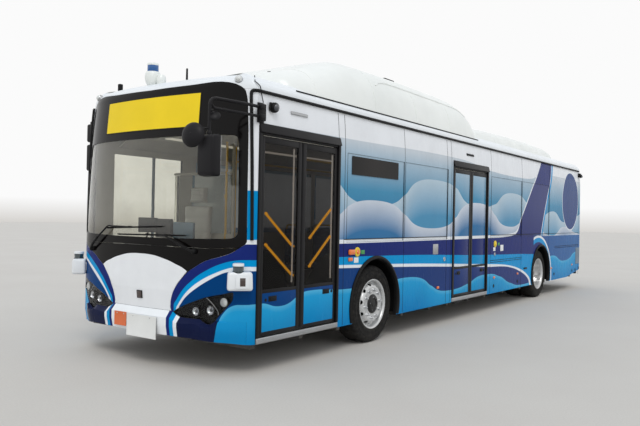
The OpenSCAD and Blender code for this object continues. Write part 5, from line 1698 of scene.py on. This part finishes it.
dome_lamp("clearance_lamp_left", 1.125, 2.802)
dome_lamp("clearance_lamp_right", -1.125, 2.802)
BEACON = on_roof(at(0.285), -0.200) - Vector((0, 0, 0.008))
bowl = turned(milli(0, 0, 50, 0, 60, 10, 72, 30, 80, 58, 83, 90, 81, 120, 74, 140, 62, 148, 0, 149), BEACON,
    (0, 0, 1), 48)
finish(bowl, "beacon_bowl", pod_white, "lamp", 50, ("roof_beacon",))
finish(turned(milli(0, 0, 57.5, 0, 59, 3, 59, 66, 0, 66), BEACON + Vector((0, 0, 0.148)), (0, 0, 1), 48),
    "beacon_band", blue_band, "lamp", 40)
finish(turned(milli(0, 0, 59.5, 0, 61, 4, 61, 16, 57, 24, 40, 28, 0, 29), BEACON + Vector((0, 0, 0.213)),
    (0, 0, 1), 48), "beacon_cap", pod_white, "lamp", 40)
knob = turned(milli(0, 0, 40, 0, 50, 30, 50, 70, 36, 98, 0, 106), on_roof(at(0.30), -0.085)
    - Vector((0, 0, 0.006)), (0, 0, 1), 36)
finish(knob, "roof_aerial_dome", pod_white, "sensor", 50)
foot = on_roof(5.33, -0.97)
finish(joined(block(foot + Vector((-0.029, -0.029, -0.012)), foot + Vector((0.029, 0.029, 0.006)), 0.004),
    block(foot + Vector((-0.023, -0.023, 0)), foot + Vector((0.023, 0.023, 0.112)), 0.010)),
    "roof_aerial_block", trim_black, "sensor", 40)
finish(turned(milli(0, -10, 20, -10, 20, 8, 11.5, 14, 10, 110, 10, 132, 6, 140, 0, 140),
    on_roof(5.416, 0.212), (0, 0, 1), 24), "roof_aerial_rod", trim_black, "sensor", 40)
strobe = block((2.08, 0.70, 3.392), (2.34, 0.80, 3.424), 0.014, 4)
finish(strobe, "fairing_top_aerial", trim_black, "sensor", 40)
finish(turned(milli(0, 0, 30, 0, 30, 6, 22, 10, 0, 10), (4.80, 0.80, 3.02), (0.75, 0.35, 0.55), 24),
    "fairing_nose_plug", trim_black, "sensor", 40)
cable = pipe(flowing([on_roof(5.36, 1.09) + Vector((0, 0, 0.008)), skin(1.33, 2.775, 0.010),
    skin(1.385, 2.74, 0.014), skin(1.395, 2.66, 0.018), (5.44, 1.276, 2.575)], 0.03), 0.0045, 0.02, 8)
finish(cable, "camera_lead", rubber, "rubber", 60)


# Wheels: arch lips
for side, sign in SIDES:
    for where, x in (("front", AXLE_F + 0.015), ("rear", AXLE_R)):
        r = ARCH_R
        lip = turned([(r - 0.004, -0.030), (r, -0.034), (r + 0.030, -0.004), (r + 0.040, 0.000),
            (r + 0.040, 0.012), (r + 0.030, 0.019), (r + 0.012, 0.021), (r + 0.002, 0.014),
            (r - 0.004, -0.004), (r - 0.004, -0.030)], (x, sign * HALF, HUB_Z), (0, sign, 0), 96)

        def trim_low():
            bpy.ops.mesh.bisect(plane_co=(0, 0, 0.300), plane_no=(0, 0, -1), clear_outer=True,
                use_fill=True)

        edit(lip, trim_low, outward)
        finish(lip, f"arch_lip_{where}_{side}", trim_black, "rubber", 40, ("arch_lips",)
            if (where, side) == ("front", "left") else ())


# The cabin
FLOOR_TOP = 0.345
# Sheets just inside the side windows glow though they are no lamp: painted light standing in for daylight in
# the cabin.
daylight = finish_of("daylight_through_film", rgb(196, 208, 216), 0.6, peel=None)
glowing(daylight, rgb(206, 216, 222), 0.10)

lamp_glow = finish_of("cabin_lamp", rgb(240, 240, 236), 0.5, peel=None)
glowing(lamp_glow, rgb(246, 242, 228), 0.35)

WINDOWS = {"left": ((2.905, 4.247), (4.287, 5.596), (7.302, 8.813), (8.853, 10.507)),
    "right": ((2.905, 4.247), (4.287, 5.596), (5.636, 7.262), (7.302, 8.813), (8.853, 10.507))}
for side, sign in SIDES:
    for k, (s0, s1) in enumerate(WINDOWS[side]):
        low = 1.33
        sheet = block((SIDE_END - s1 + 0.05, sign * 1.182, low), (SIDE_END - s0 - 0.05, sign * 1.186, 2.16),
            0.001, 1)
        finish(sheet, f"window_daylight_glow_{side}_{k}", daylight, "film_glass")
ceiling = block((-5.9, -0.93, 2.395), (5.15, 0.93, 2.415), 0.004)
coves = [block((-5.9, min(sign * 0.90, sign * 1.19), 2.26), (5.15, max(sign * 0.90, sign * 1.19), 2.28),
    0.004) for sign in (1, -1)]
for cove, sign in zip(coves, (1, -1)):
    hinge = Matrix.Translation((0, sign * 1.045, 2.27))
    moved(cove, Matrix.Translation((0, sign * 0.03, 0.088)) @ hinge @ spun(-28 * sign, "X")
        @ hinge.inverted())
finish(joined(ceiling, *coves), "cabin_ceiling", cabin_pale, "cabin_dark")
for sign in (1, -1):
    strip = block((-5.6, sign * 0.62 - 0.06, 2.384), (4.9, sign * 0.62 + 0.06, 2.396), 0.004)
    finish(strip, f"ceiling_lamp_{'left' if sign > 0 else 'right'}", lamp_glow, "lamp")

# Cab: dashboard, screens, wheel and partition
def dash_place(s, z):
    p = skin(s, 1.15, -0.085)

    return Vector((p.x, p.y, z))


dash_half = milli(-1020, 860, 500, 860, 500, 1120, 200, 1135, -150, 1140, -250, 1150, -420, 1165, -800,
    1165, -950, 1155, -1020, 1140)
front_board = slices(flat([[dash_half]]), ROUND_S, [])
for v in front_board.data.vertices:
    v.co = dash_place(v.co.x, v.co.y)
settle(front_board, ("SOLIDIFY", {"thickness": 0.012, "offset": 0}))

top_pad = block((5.26, -0.98, 1.085), (5.62, 0.50, 1.115), 0.012)

binnacle = block((5.20, -0.86, 1.03), (5.46, -0.34, 1.165), 0)
pinch(binnacle, lambda c, n: n.z > 0.9, (0.62, 0.86, 1), (5.46, -0.60, 1.165))
settle(binnacle, rounded(0.03, 5, 30))

console = block((5.17, -1.05, 0.36), (5.34, -0.20, 1.05), 0.03)

finish(joined(front_board, top_pad, binnacle, console), "dashboard_shell", cabin_dark, "cabin_dark", 30,
    ("dashboard",))
dial_face = block((5.132, -0.80, 1.075), (5.142, -0.40, 1.185), 0.006)
finish(dial_face, "instrument_screen", screen_dark, "cabin_dark")
for name, y, z, wide, high, turn in (("cab_screen_a", -0.36, 1.385, 0.24, 0.16, 12),
        ("cab_screen_b", -0.10, 1.355, 0.30, 0.20, -10), ("cab_box", 0.20, 1.34, 0.27, 0.17, 6)):
    case = block((-0.02, -wide / 2, -high / 2), (0.02, wide / 2, high / 2), 0.010)
    stand = pipe([(0.0, 0, -high / 2), (0.02, 0, -high / 2 - 0.06), (0.05, 0, 1.10 - z)], 0.010, 0.03, 10)
    whole_screen = joined(case, stand)
    whole_screen.matrix_world = Matrix.Translation((5.40, y, z)) @ spun(turn, "Z")
    finish(whole_screen, name, cabin_dark if name != "cab_box" else louvre_grey, "cabin_dark", 40)

wheel_turn = Matrix.Translation((5.08, -0.6, 1.12)) @ spun(-25, "Y")
ring = turned([(0.215 + 0.0155 * cos(radians(a)), 0.0155 * sin(radians(a))) for a in range(0, 361, 30)],
    (0, 0, 0), (0, 0, 1), 64)
boss = turned(milli(0, 4, 45, 2, 60, -8, 58, -34, 30, -45, 24, -190, 0, -190), (0, 0, 0), (0, 0, 1), 32)
spokes = []
for a in (90, 210, 330):
    spoke = block((0.035, -0.016, -0.022), (0.212, 0.016, -0.006), 0.006)
    spokes.append(moved(spoke, spun(a, "Z")))
steer = joined(ring, boss, *spokes)
steer.matrix_world = wheel_turn
finish(steer, "steering_wheel_rim", trim_black, "cabin_dark", 40, ("steering_wheel",), body="steering")
column = pipe([tuple(wheel_turn @ Vector((0, 0, -0.05))), tuple(wheel_turn @ Vector((0, 0, -0.42)))], 0.042,
    0.01, 20)
finish(column, "steering_column_cover", cabin_dark, "cabin_dark", 40)
for k, y in enumerate((-0.72, -0.56)):
    stalk = pipe([tuple(wheel_turn @ Vector((0, (y + 0.64) * 0.4, -0.10))),
        tuple(wheel_turn @ Vector((0.02, (y + 0.64) * 2.2, -0.08)))], 0.007, 0.01, 8)
    finish(stalk, f"column_stalk_{k}", trim_black, "cabin_dark", 40)

partition = joined(block((4.28, -1.16, 0.36), (4.31, -0.14, 1.28), 0.008),
    pipe([(4.295, -0.14, 0.36), (4.295, -0.14, 2.38)], 0.019, 0.02, 14),
    pipe([(4.295, -1.16, 2.02), (4.295, -0.14, 2.02)], 0.016, 0.02, 14))
finish(partition, "cab_partition", cabin_pale, "cabin_dark", 40)
finish(block((4.585, -1.228, 1.02), (4.618, -1.204, 2.225), 0.004), "cab_window_divider", louvre_grey,
    "black_trim", 40)
finish(block((4.288, -1.15, 1.285), (4.300, -0.165, 2.0), 0.002), "cab_partition_glass", driver_glass,
    "clear_glass")


# Seats: a sewn cushion and back, made once each and copied
def puffed(piece, voxel, cap):
    """Swells a pad with a short cloth run under pressure, then smooths it once."""
    settle(piece, ("REMESH", {"mode": "VOXEL", "voxel_size": voxel}))
    start = [v.co.copy() for v in piece.data.vertices]
    only(piece)
    cloth = piece.modifiers.new("cloth", "CLOTH")
    cloth.settings.use_pressure = True
    cloth.settings.uniform_pressure_force = 4.0
    cloth.settings.effector_weights.gravity = 0.0
    cloth.settings.quality = 5
    cloth.point_cache.frame_start, cloth.point_cache.frame_end = 1, 20
    for f in range(1, 21):
        bpy.context.scene.frame_set(f)
    bpy.ops.object.modifier_apply(modifier="cloth")
    bpy.context.scene.frame_set(1)
    for v, was in zip(piece.data.vertices, start):
        move = v.co - was
        if move.length > cap:
            v.co = was + move.normalized() * cap
    settle(piece, ("SMOOTH", {"factor": 0.5, "iterations": 3}))
    return piece


def seat_pad(low, high, bevel, channels, axis):
    """A pad with round edges and sewn channels pressed in across it."""
    piece = block(low, high, bevel, 4)
    puffed(piece, 0.014, 0.016)
    for v in piece.data.vertices:
        along = v.co[axis]
        for c in channels:
            d = abs(along - c)
            if d < 0.016:
                dip = 0.006 * (1 - (d / 0.016) ** 2)
                mid = Vector([(a + b) / 2 for a, b in zip(low, high)])
                away = v.co - mid
                away[axis] = 0
                big = 2 if axis != 2 else 0
                v.co[big] -= copysign(dip, away[big])
    return piece


cover_pale = finish_of("seat_cover_pale", rgb(206, 208, 206), 0.32, peel=(26.0, 0.8), Sheen_Weight=0.2)
SEAT_PLACES = [(at(d), -HALF + 0.27, FLOOR_TOP) for d in (3.6, 4.35, 5.15, 5.9, 6.65, 7.4)] + [(at(d),
    HALF - 0.27, FLOOR_TOP) for d in (6.8, 7.5)] + [(REAR + 1.3, k * (HALF - 0.35) / 2, 1.035)
    for k in range(-2, 3)]
cushion = seat_pad((-0.196, -0.196, 0.345), (0.198, 0.196, 0.412), 0.022, (-0.105, 0.0, 0.105), 1)
back = seat_pad((-0.034, -0.196, 0.0), (0.020, 0.196, 0.545), 0.022, (0.13, 0.27, 0.41), 2)
cushion.name, back.name = "pad_seat_master", "pad_back_master"
shell_master = joined(block((-0.205, -0.20, 0.332), (0.205, 0.20, 0.348), 0.007),
    block((-0.252, -0.20, 0.36), (-0.236, 0.20, 0.97), 0.007))
legs_master = joined(pipe([(0, 0, 0.0), (0, 0, 0.335)], 0.030, 0.01, 16), block((-0.09, -0.09, 0.0),
    (0.09, 0.09, 0.010), 0.004), pipe([(-0.244, -0.17, 0.95), (-0.250, -0.17, 1.03), (-0.250, 0.17, 1.03),
    (-0.244, 0.17, 0.95)], 0.013, 0.04, 12))


def copied(master, matrix):
    piece = master.copy()
    piece.data = master.data.copy()
    link(piece)
    piece.matrix_world = matrix
    return piece


for k, (x, y, z) in enumerate([(at(1.15), -0.60, FLOOR_TOP)] + SEAT_PLACES):
    first = k == 0
    cover, leg = (cover_pale, cabin_dark) if first else (seat_cloth, rail_paint)
    here = Matrix.Translation((x, y, z + (0.17 if first else 0)))
    low = here @ Matrix.Diagonal((1.1, 1.15, 1.25, 1)) @ Matrix.Translation((0, 0,
        -0.05)) if first else here
    pad = finish(copied(cushion, low), f"seat_cushion_{k}", cover, "seat_fabric", 60,
        ("seats",) if first else ())
    lean = here @ Matrix.Translation((-0.208, 0, 0.435)) @ spun(-2, "Y")
    upright = lean @ Matrix.Diagonal((1.5, 1.15, 1.25, 1)) if first else lean
    finish(copied(back, upright), f"seat_back_{k}", cover, "seat_fabric", 60)
    if first:
        head = lean @ Matrix.Translation((0, 0, 0.70)) @ Matrix.Diagonal((1.4, 0.62, 0.36, 1))
        finish(copied(back, head), "seat_headrest", cover, "seat_fabric", 60)
        finish(block((x - 0.22, y - 0.20, z), (x + 0.22, y + 0.20, z + 0.36), 0.03), "seat_pedestal",
            cabin_dark, "cabin_dark", 40)
    finish(copied(shell_master, here), f"seat_shell_{k}", cabin_dark, "cabin_dark", 40)
    finish(copied(legs_master, here), f"seat_leg_{k}", leg, "rail_yellow", 40)
for master in (cushion, back, shell_master, legs_master):
    bpy.data.objects.remove(master)


# Wheels
for side, sign in SIDES:
    out_way = (0, sign, 0)
    hub = (AXLE_F, sign * 1.202, HUB_Z)
    disc = turned(milli(300, -8, 300.5, -1, 297, 1, 290, 0, 281, -7, 275, -18, 270.5, -34, 268, -50, 264.5,
        -60, 259, -62, 252, -54, 243, -36, 232, -18, 220, -8, 206, -4.5, 188, -4, 182, -6, 140, -6, 114, -6,
        112.5, -12, 112.5, -24, 200, -24, 222, -30, 240, -56, 252, -74, 266, -76, 278, -60, 290, -30, 300,
        -8), hub, out_way, 80)
    for k in range(10):
        a = radians(36 * k + 9)
        bpy.ops.object.select_all(action="DESELECT")
        radial = Vector((cos(a), 0, sin(a)))
        way = (radial * 0.62 + Vector((0, sign * 0.78, 0))).normalized()
        bpy.ops.mesh.primitive_cylinder_add(vertices=28, radius=0.0265, depth=0.1)
        drill = bpy.context.object
        drill.matrix_world = facing(Vector(hub) + radial * 0.238 + Vector((0, sign * -0.026, 0)) - way
            * 0.03, way)
        bpy.context.view_layer.update()
        settle(disc, ("BOOLEAN", {"operation": "DIFFERENCE", "object": drill, "solver": "EXACT"}))
        bpy.data.objects.remove(drill)
    body = "front_wheel_" + side
    finish(disc, "front_wheel_disc_" + side, rim_silver, "wheel_silver", 35, ("front_rim_" + side,),
        body=body)
    barrel = turned(milli(0, -90, 262, -90, 286, -66, 290.5, -60, 290.5, -235, 262, -262, 262, -120, 0,
        -120), hub, out_way, 60)
    finish(barrel, "front_wheel_barrel_" + side, drum_dark, "wheel_silver", 35, body=body)
    rear_hub = (AXLE_R, sign * 1.202, HUB_Z)
    for where, centre, rides, deep in (("front", hub, body, 0.0), ("rear", rear_hub, "rear_wheels_" + side,
            -0.108)):
        cap = turned(milli(0, 14, 30, 14, 36, 8, 64, 8, 70, 17, 92, 15, 104, 9, 113, 2, 117, -4, 117, -22,
            109, -30, 0, -30) if where == "front" else milli(0, 12, 55, 12, 66, 4, 80, 2, 91, -8, 92.5, -90,
            113.5, -94, 113.5, -160, 0, -160), Vector(centre) + Vector((0, sign * deep, 0)), out_way, 48)
        finish(cap, f"hub_cap_{where}_{side}", hub_black, "black_trim", 35, body=rides)
        nuts = []
        for k in range(10):
            a = radians(36 * k + 27)
            place = Vector(centre) + Vector((0.168 * cos(a),
                sign * (-0.006 if where == "front" else -0.262), 0.168 * sin(a)))
            nuts.append(turned(milli(0, 34, 7, 34, 9, 30, 9, 26, 14.5, 24, 16.5, 19, 16.5, 4, 20.5, 2, 20.5,
                0, 0, 0), place, out_way, 12))
        for k in range(10):
            a = radians(36 * k + 9)
            bolt = Vector(centre) + Vector((0.078 * cos(a),
                sign * (deep + (0.008 if where == "front" else 0.0)), 0.078 * sin(a)))
            if k % 2 == 0:
                nuts.append(turned(milli(0, 9, 6, 8, 7.5, 5, 7.5, -4, 0, -4), bolt, out_way, 6))
        finish(joined(*nuts), f"wheel_nuts_{where}_{side}", bright, "wheel_silver", 30, body=rides)
    for where, centre, rides in (("front", hub, body), ("rear", rear_hub, "rear_wheels_" + side)):
        rings = [turned([(r - w, 0.0035), (r - w * 0.4, 0.0062), (r + w * 0.4, 0.0062), (r + w, 0.0035),
            (r + w, 0.0), (r - w, 0.0), (r - w, 0.0035)], centre, out_way, 72) for r, w in milli(334, 3,
            350, 2, 402, 3)]
        finish(joined(*rings), f"tyre_wall_rings_{where}_{side}", tyre_black, "tyre", 40, body=rides)


# The rear face, seen from behind with s running to the right
def rear_face(s, z, out=0.0):
    tumble = TUMBLE - sqrt(TUMBLE ** 2 - (z - TUMBLE_FROM) ** 2) if z > TUMBLE_FROM else 0
    return Vector((REAR + tumble - out, -s, z))


def rear_box(s0, s1, z0, z1, low, high, bevel=0.002, segments=3):
    return lay(block((s0, z0, low), (s1, z1, high), bevel, segments), 0.0, rear_face)


def ring_of(s0, s1, z0, z1, wide, r, low, high, name, material, body="body", slot="rubber"):
    outer = rounded_box(s0 - wide, s1 + wide, z0 - wide, z1 + wide, r + wide)
    inner = rounded_box(s0, s1, z0, z1, r)
    finish(slab([[outer, inner]], high - low, min(0.003, (high - low) / 3), out=high, place=rear_face),
        name, material, slot, 40, body=body)


ring_of(-0.866, 0.866, 1.434, 2.186, 0.030, 0.055, -0.004, 0.007, "rear_window_seal", rubber)
ring_of(-0.893, 0.893, 0.530, 1.213, 0.007, 0.010, -0.006, 0.0015, "hatch_gap_seal", rubber)
ring_of(-0.800, 0.800, 0.640, 1.120, 0.010, 0.030, -0.006, -0.0015, "hatch_pressing", paint_rear, "hatch",
    "body_paint")
for k, mid in enumerate((-0.50, 0.50)):
    frame_in = [rear_box(mid - 0.235, mid + 0.235, 0.690, 0.910, -0.006, -0.0030, 0.001)]
    for i in range(11):
        z = 0.700 + i * 0.020
        slat = block((mid - 0.228, z - 0.007, -0.004), (mid + 0.228, z + 0.007, 0.0015), 0)
        pinch(slat, lambda c, n: n.z > 0.9, (1, 0.45, 1), (mid, z + 0.006, 0))
        settle(slat, rounded(0.0015, 2, 30))
        frame_in.append(lay(slat, 0.0, rear_face))
    finish(joined(*frame_in), f"hatch_grille_{k}", louvre_grey, "body_paint", 40, body="hatch")
for k, s in enumerate((-0.72, 0.72)):
    finish(joined(rear_box(s - 0.055, s + 0.055, 0.548, 0.598, -0.005, -0.001, 0.004),
        rear_box(s - 0.035, s + 0.035, 0.560, 0.586, -0.004, 0.003, 0.004)), f"hatch_latch_{k}", trim_black,
        "black_trim", 40, body="hatch")
ring_lens = [(0, 0.0105), (0.020, 0.0102), (0.034, 0.0085), (0.044, 0.0062), (0.050, 0.0080),
    (0.0545, 0.0070), (0.0560, 0.002), (0.0560, -0.004), (0, -0.004)]
for side, sign in SIDES:
    plate_back = rear_box(-sign * 1.010 - 0.078, -sign * 1.010 + 0.078, 1.105, 1.740, -0.004, 0.003, 0.006)
    finish(plate_back, "rear_lamp_panel_" + side, trim_black, "black_trim", 40)
    for name, z, lens in (("tail", 1.660, red_lens), ("turn", 1.500, orange_lens),
            ("stop", 1.340, red_lens), ("reverse", 1.190, pale_lens)):
        finish(turned(ring_lens, rear_face(-sign * 1.010, z, 0.001), (-1, 0, 0), 36), f"{name}_lamp_{side}",
            lens, "lamp", 40)
        finish(turned(milli(57, 1, 58, 10, 61.5, 10, 64, 2, 57, 1), rear_face(-sign * 1.010, z, 0.001),
            (-1, 0, 0), 36), f"{name}_lamp_rim_{side}", silver, "lamp", 40)
    finish(rear_box(-sign * 0.99 - 0.05, -sign * 0.99 + 0.05, 2.500, 2.530, -0.004, 0.012, 0.005),
        "rear_marker_" + side, red_lens, "lamp", 50)
    finish(rear_box(-sign * 0.98 - 0.045, -sign * 0.98 + 0.045, 0.445, 0.490, -0.004, 0.006, 0.004),
        "rear_reflector_" + side, red_lens, "lamp", 50)
finish(rear_box(-0.26, 0.26, 2.262, 2.296, -0.004, 0.011, 0.005), "high_stop_lamp", red_lens, "lamp", 50)
finish(joined(rear_box(-0.055, 0.055, 2.345, 2.400, -0.004, 0.011, 0.006),
    turned(milli(0, 10, 16, 8, 18, 0, 0, 0), rear_face(0, 2.365, 0.001), (-1, 0, -0.5), 20)), "rear_camera",
    trim_black, "sensor", 40)
finish(rear_box(-0.175, 0.175, 1.272, 1.404, -0.004, 0.003, 0.004), "rear_plate_holder", trim_black,
    "black_trim", 40)
finish(rear_box(-0.165, 0.165, 1.277, 1.398, 0.002, 0.0065, 0.002), "rear_plate", plate_white, "lamp", 40)
finish(rear_box(-0.10, 0.10, 1.404, 1.418, -0.003, 0.011, 0.004), "rear_plate_lamp", trim_black, "lamp", 40)
bumper_rear = rear_box(-1.170, 1.170, 0.300, 0.430, -0.060, 0.010, 0.0)
for v in bumper_rear.data.vertices:
    if abs(v.co.y) > 1.1:
        v.co.x += 0.035
settle(bumper_rear, rounded(0.016, 4, 30))
groove = rear_box(-1.05, 1.05, 0.362, 0.372, 0.008, 0.0112, 0.001)

finish(bumper_rear, "rear_bumper", trim_black, "black_trim", 40)
finish(groove, "rear_bumper_groove", rubber, "rubber", 40)
tow = turned(milli(20, -12, 20, 6, 36, 6, 36, -12, 20, -12), rear_face(0.78, 0.330, 0.0), (0, 0, 1), 24)
finish(tow, "rear_tow_eye", steel, "frame_steel", 40)
# Roof: an escape hatch behind the rear fairing, and two seams
HATCH_FRONT, HATCH_BACK = at(10.62), at(11.28)
steps_up = [block((HATCH_BACK + inset, -half, z0), (HATCH_FRONT - inset, half, z1), bevel, segments)
    for inset, half, z0, z1, bevel, segments in ((0, 0.36, 2.905, 2.932, 0.010, 3),
    (0.03, 0.33, 2.926, 2.956, 0.016, 4), (0.12, 0.20, 2.950, 2.966, 0.008, 3))]
finish(joined(*steps_up), "roof_hatch_0", pod_white, "pod_white", 40)
for y in (-0.62, 0.62):
    rib = block((REAR + 0.32, y - 0.012, 2.905), (at(10.45), y + 0.012, 2.9265), 0.004)
    finish(rib, f"roof_seam_{'left' if y > 0 else 'right'}", roof_white, "body_paint", 40)
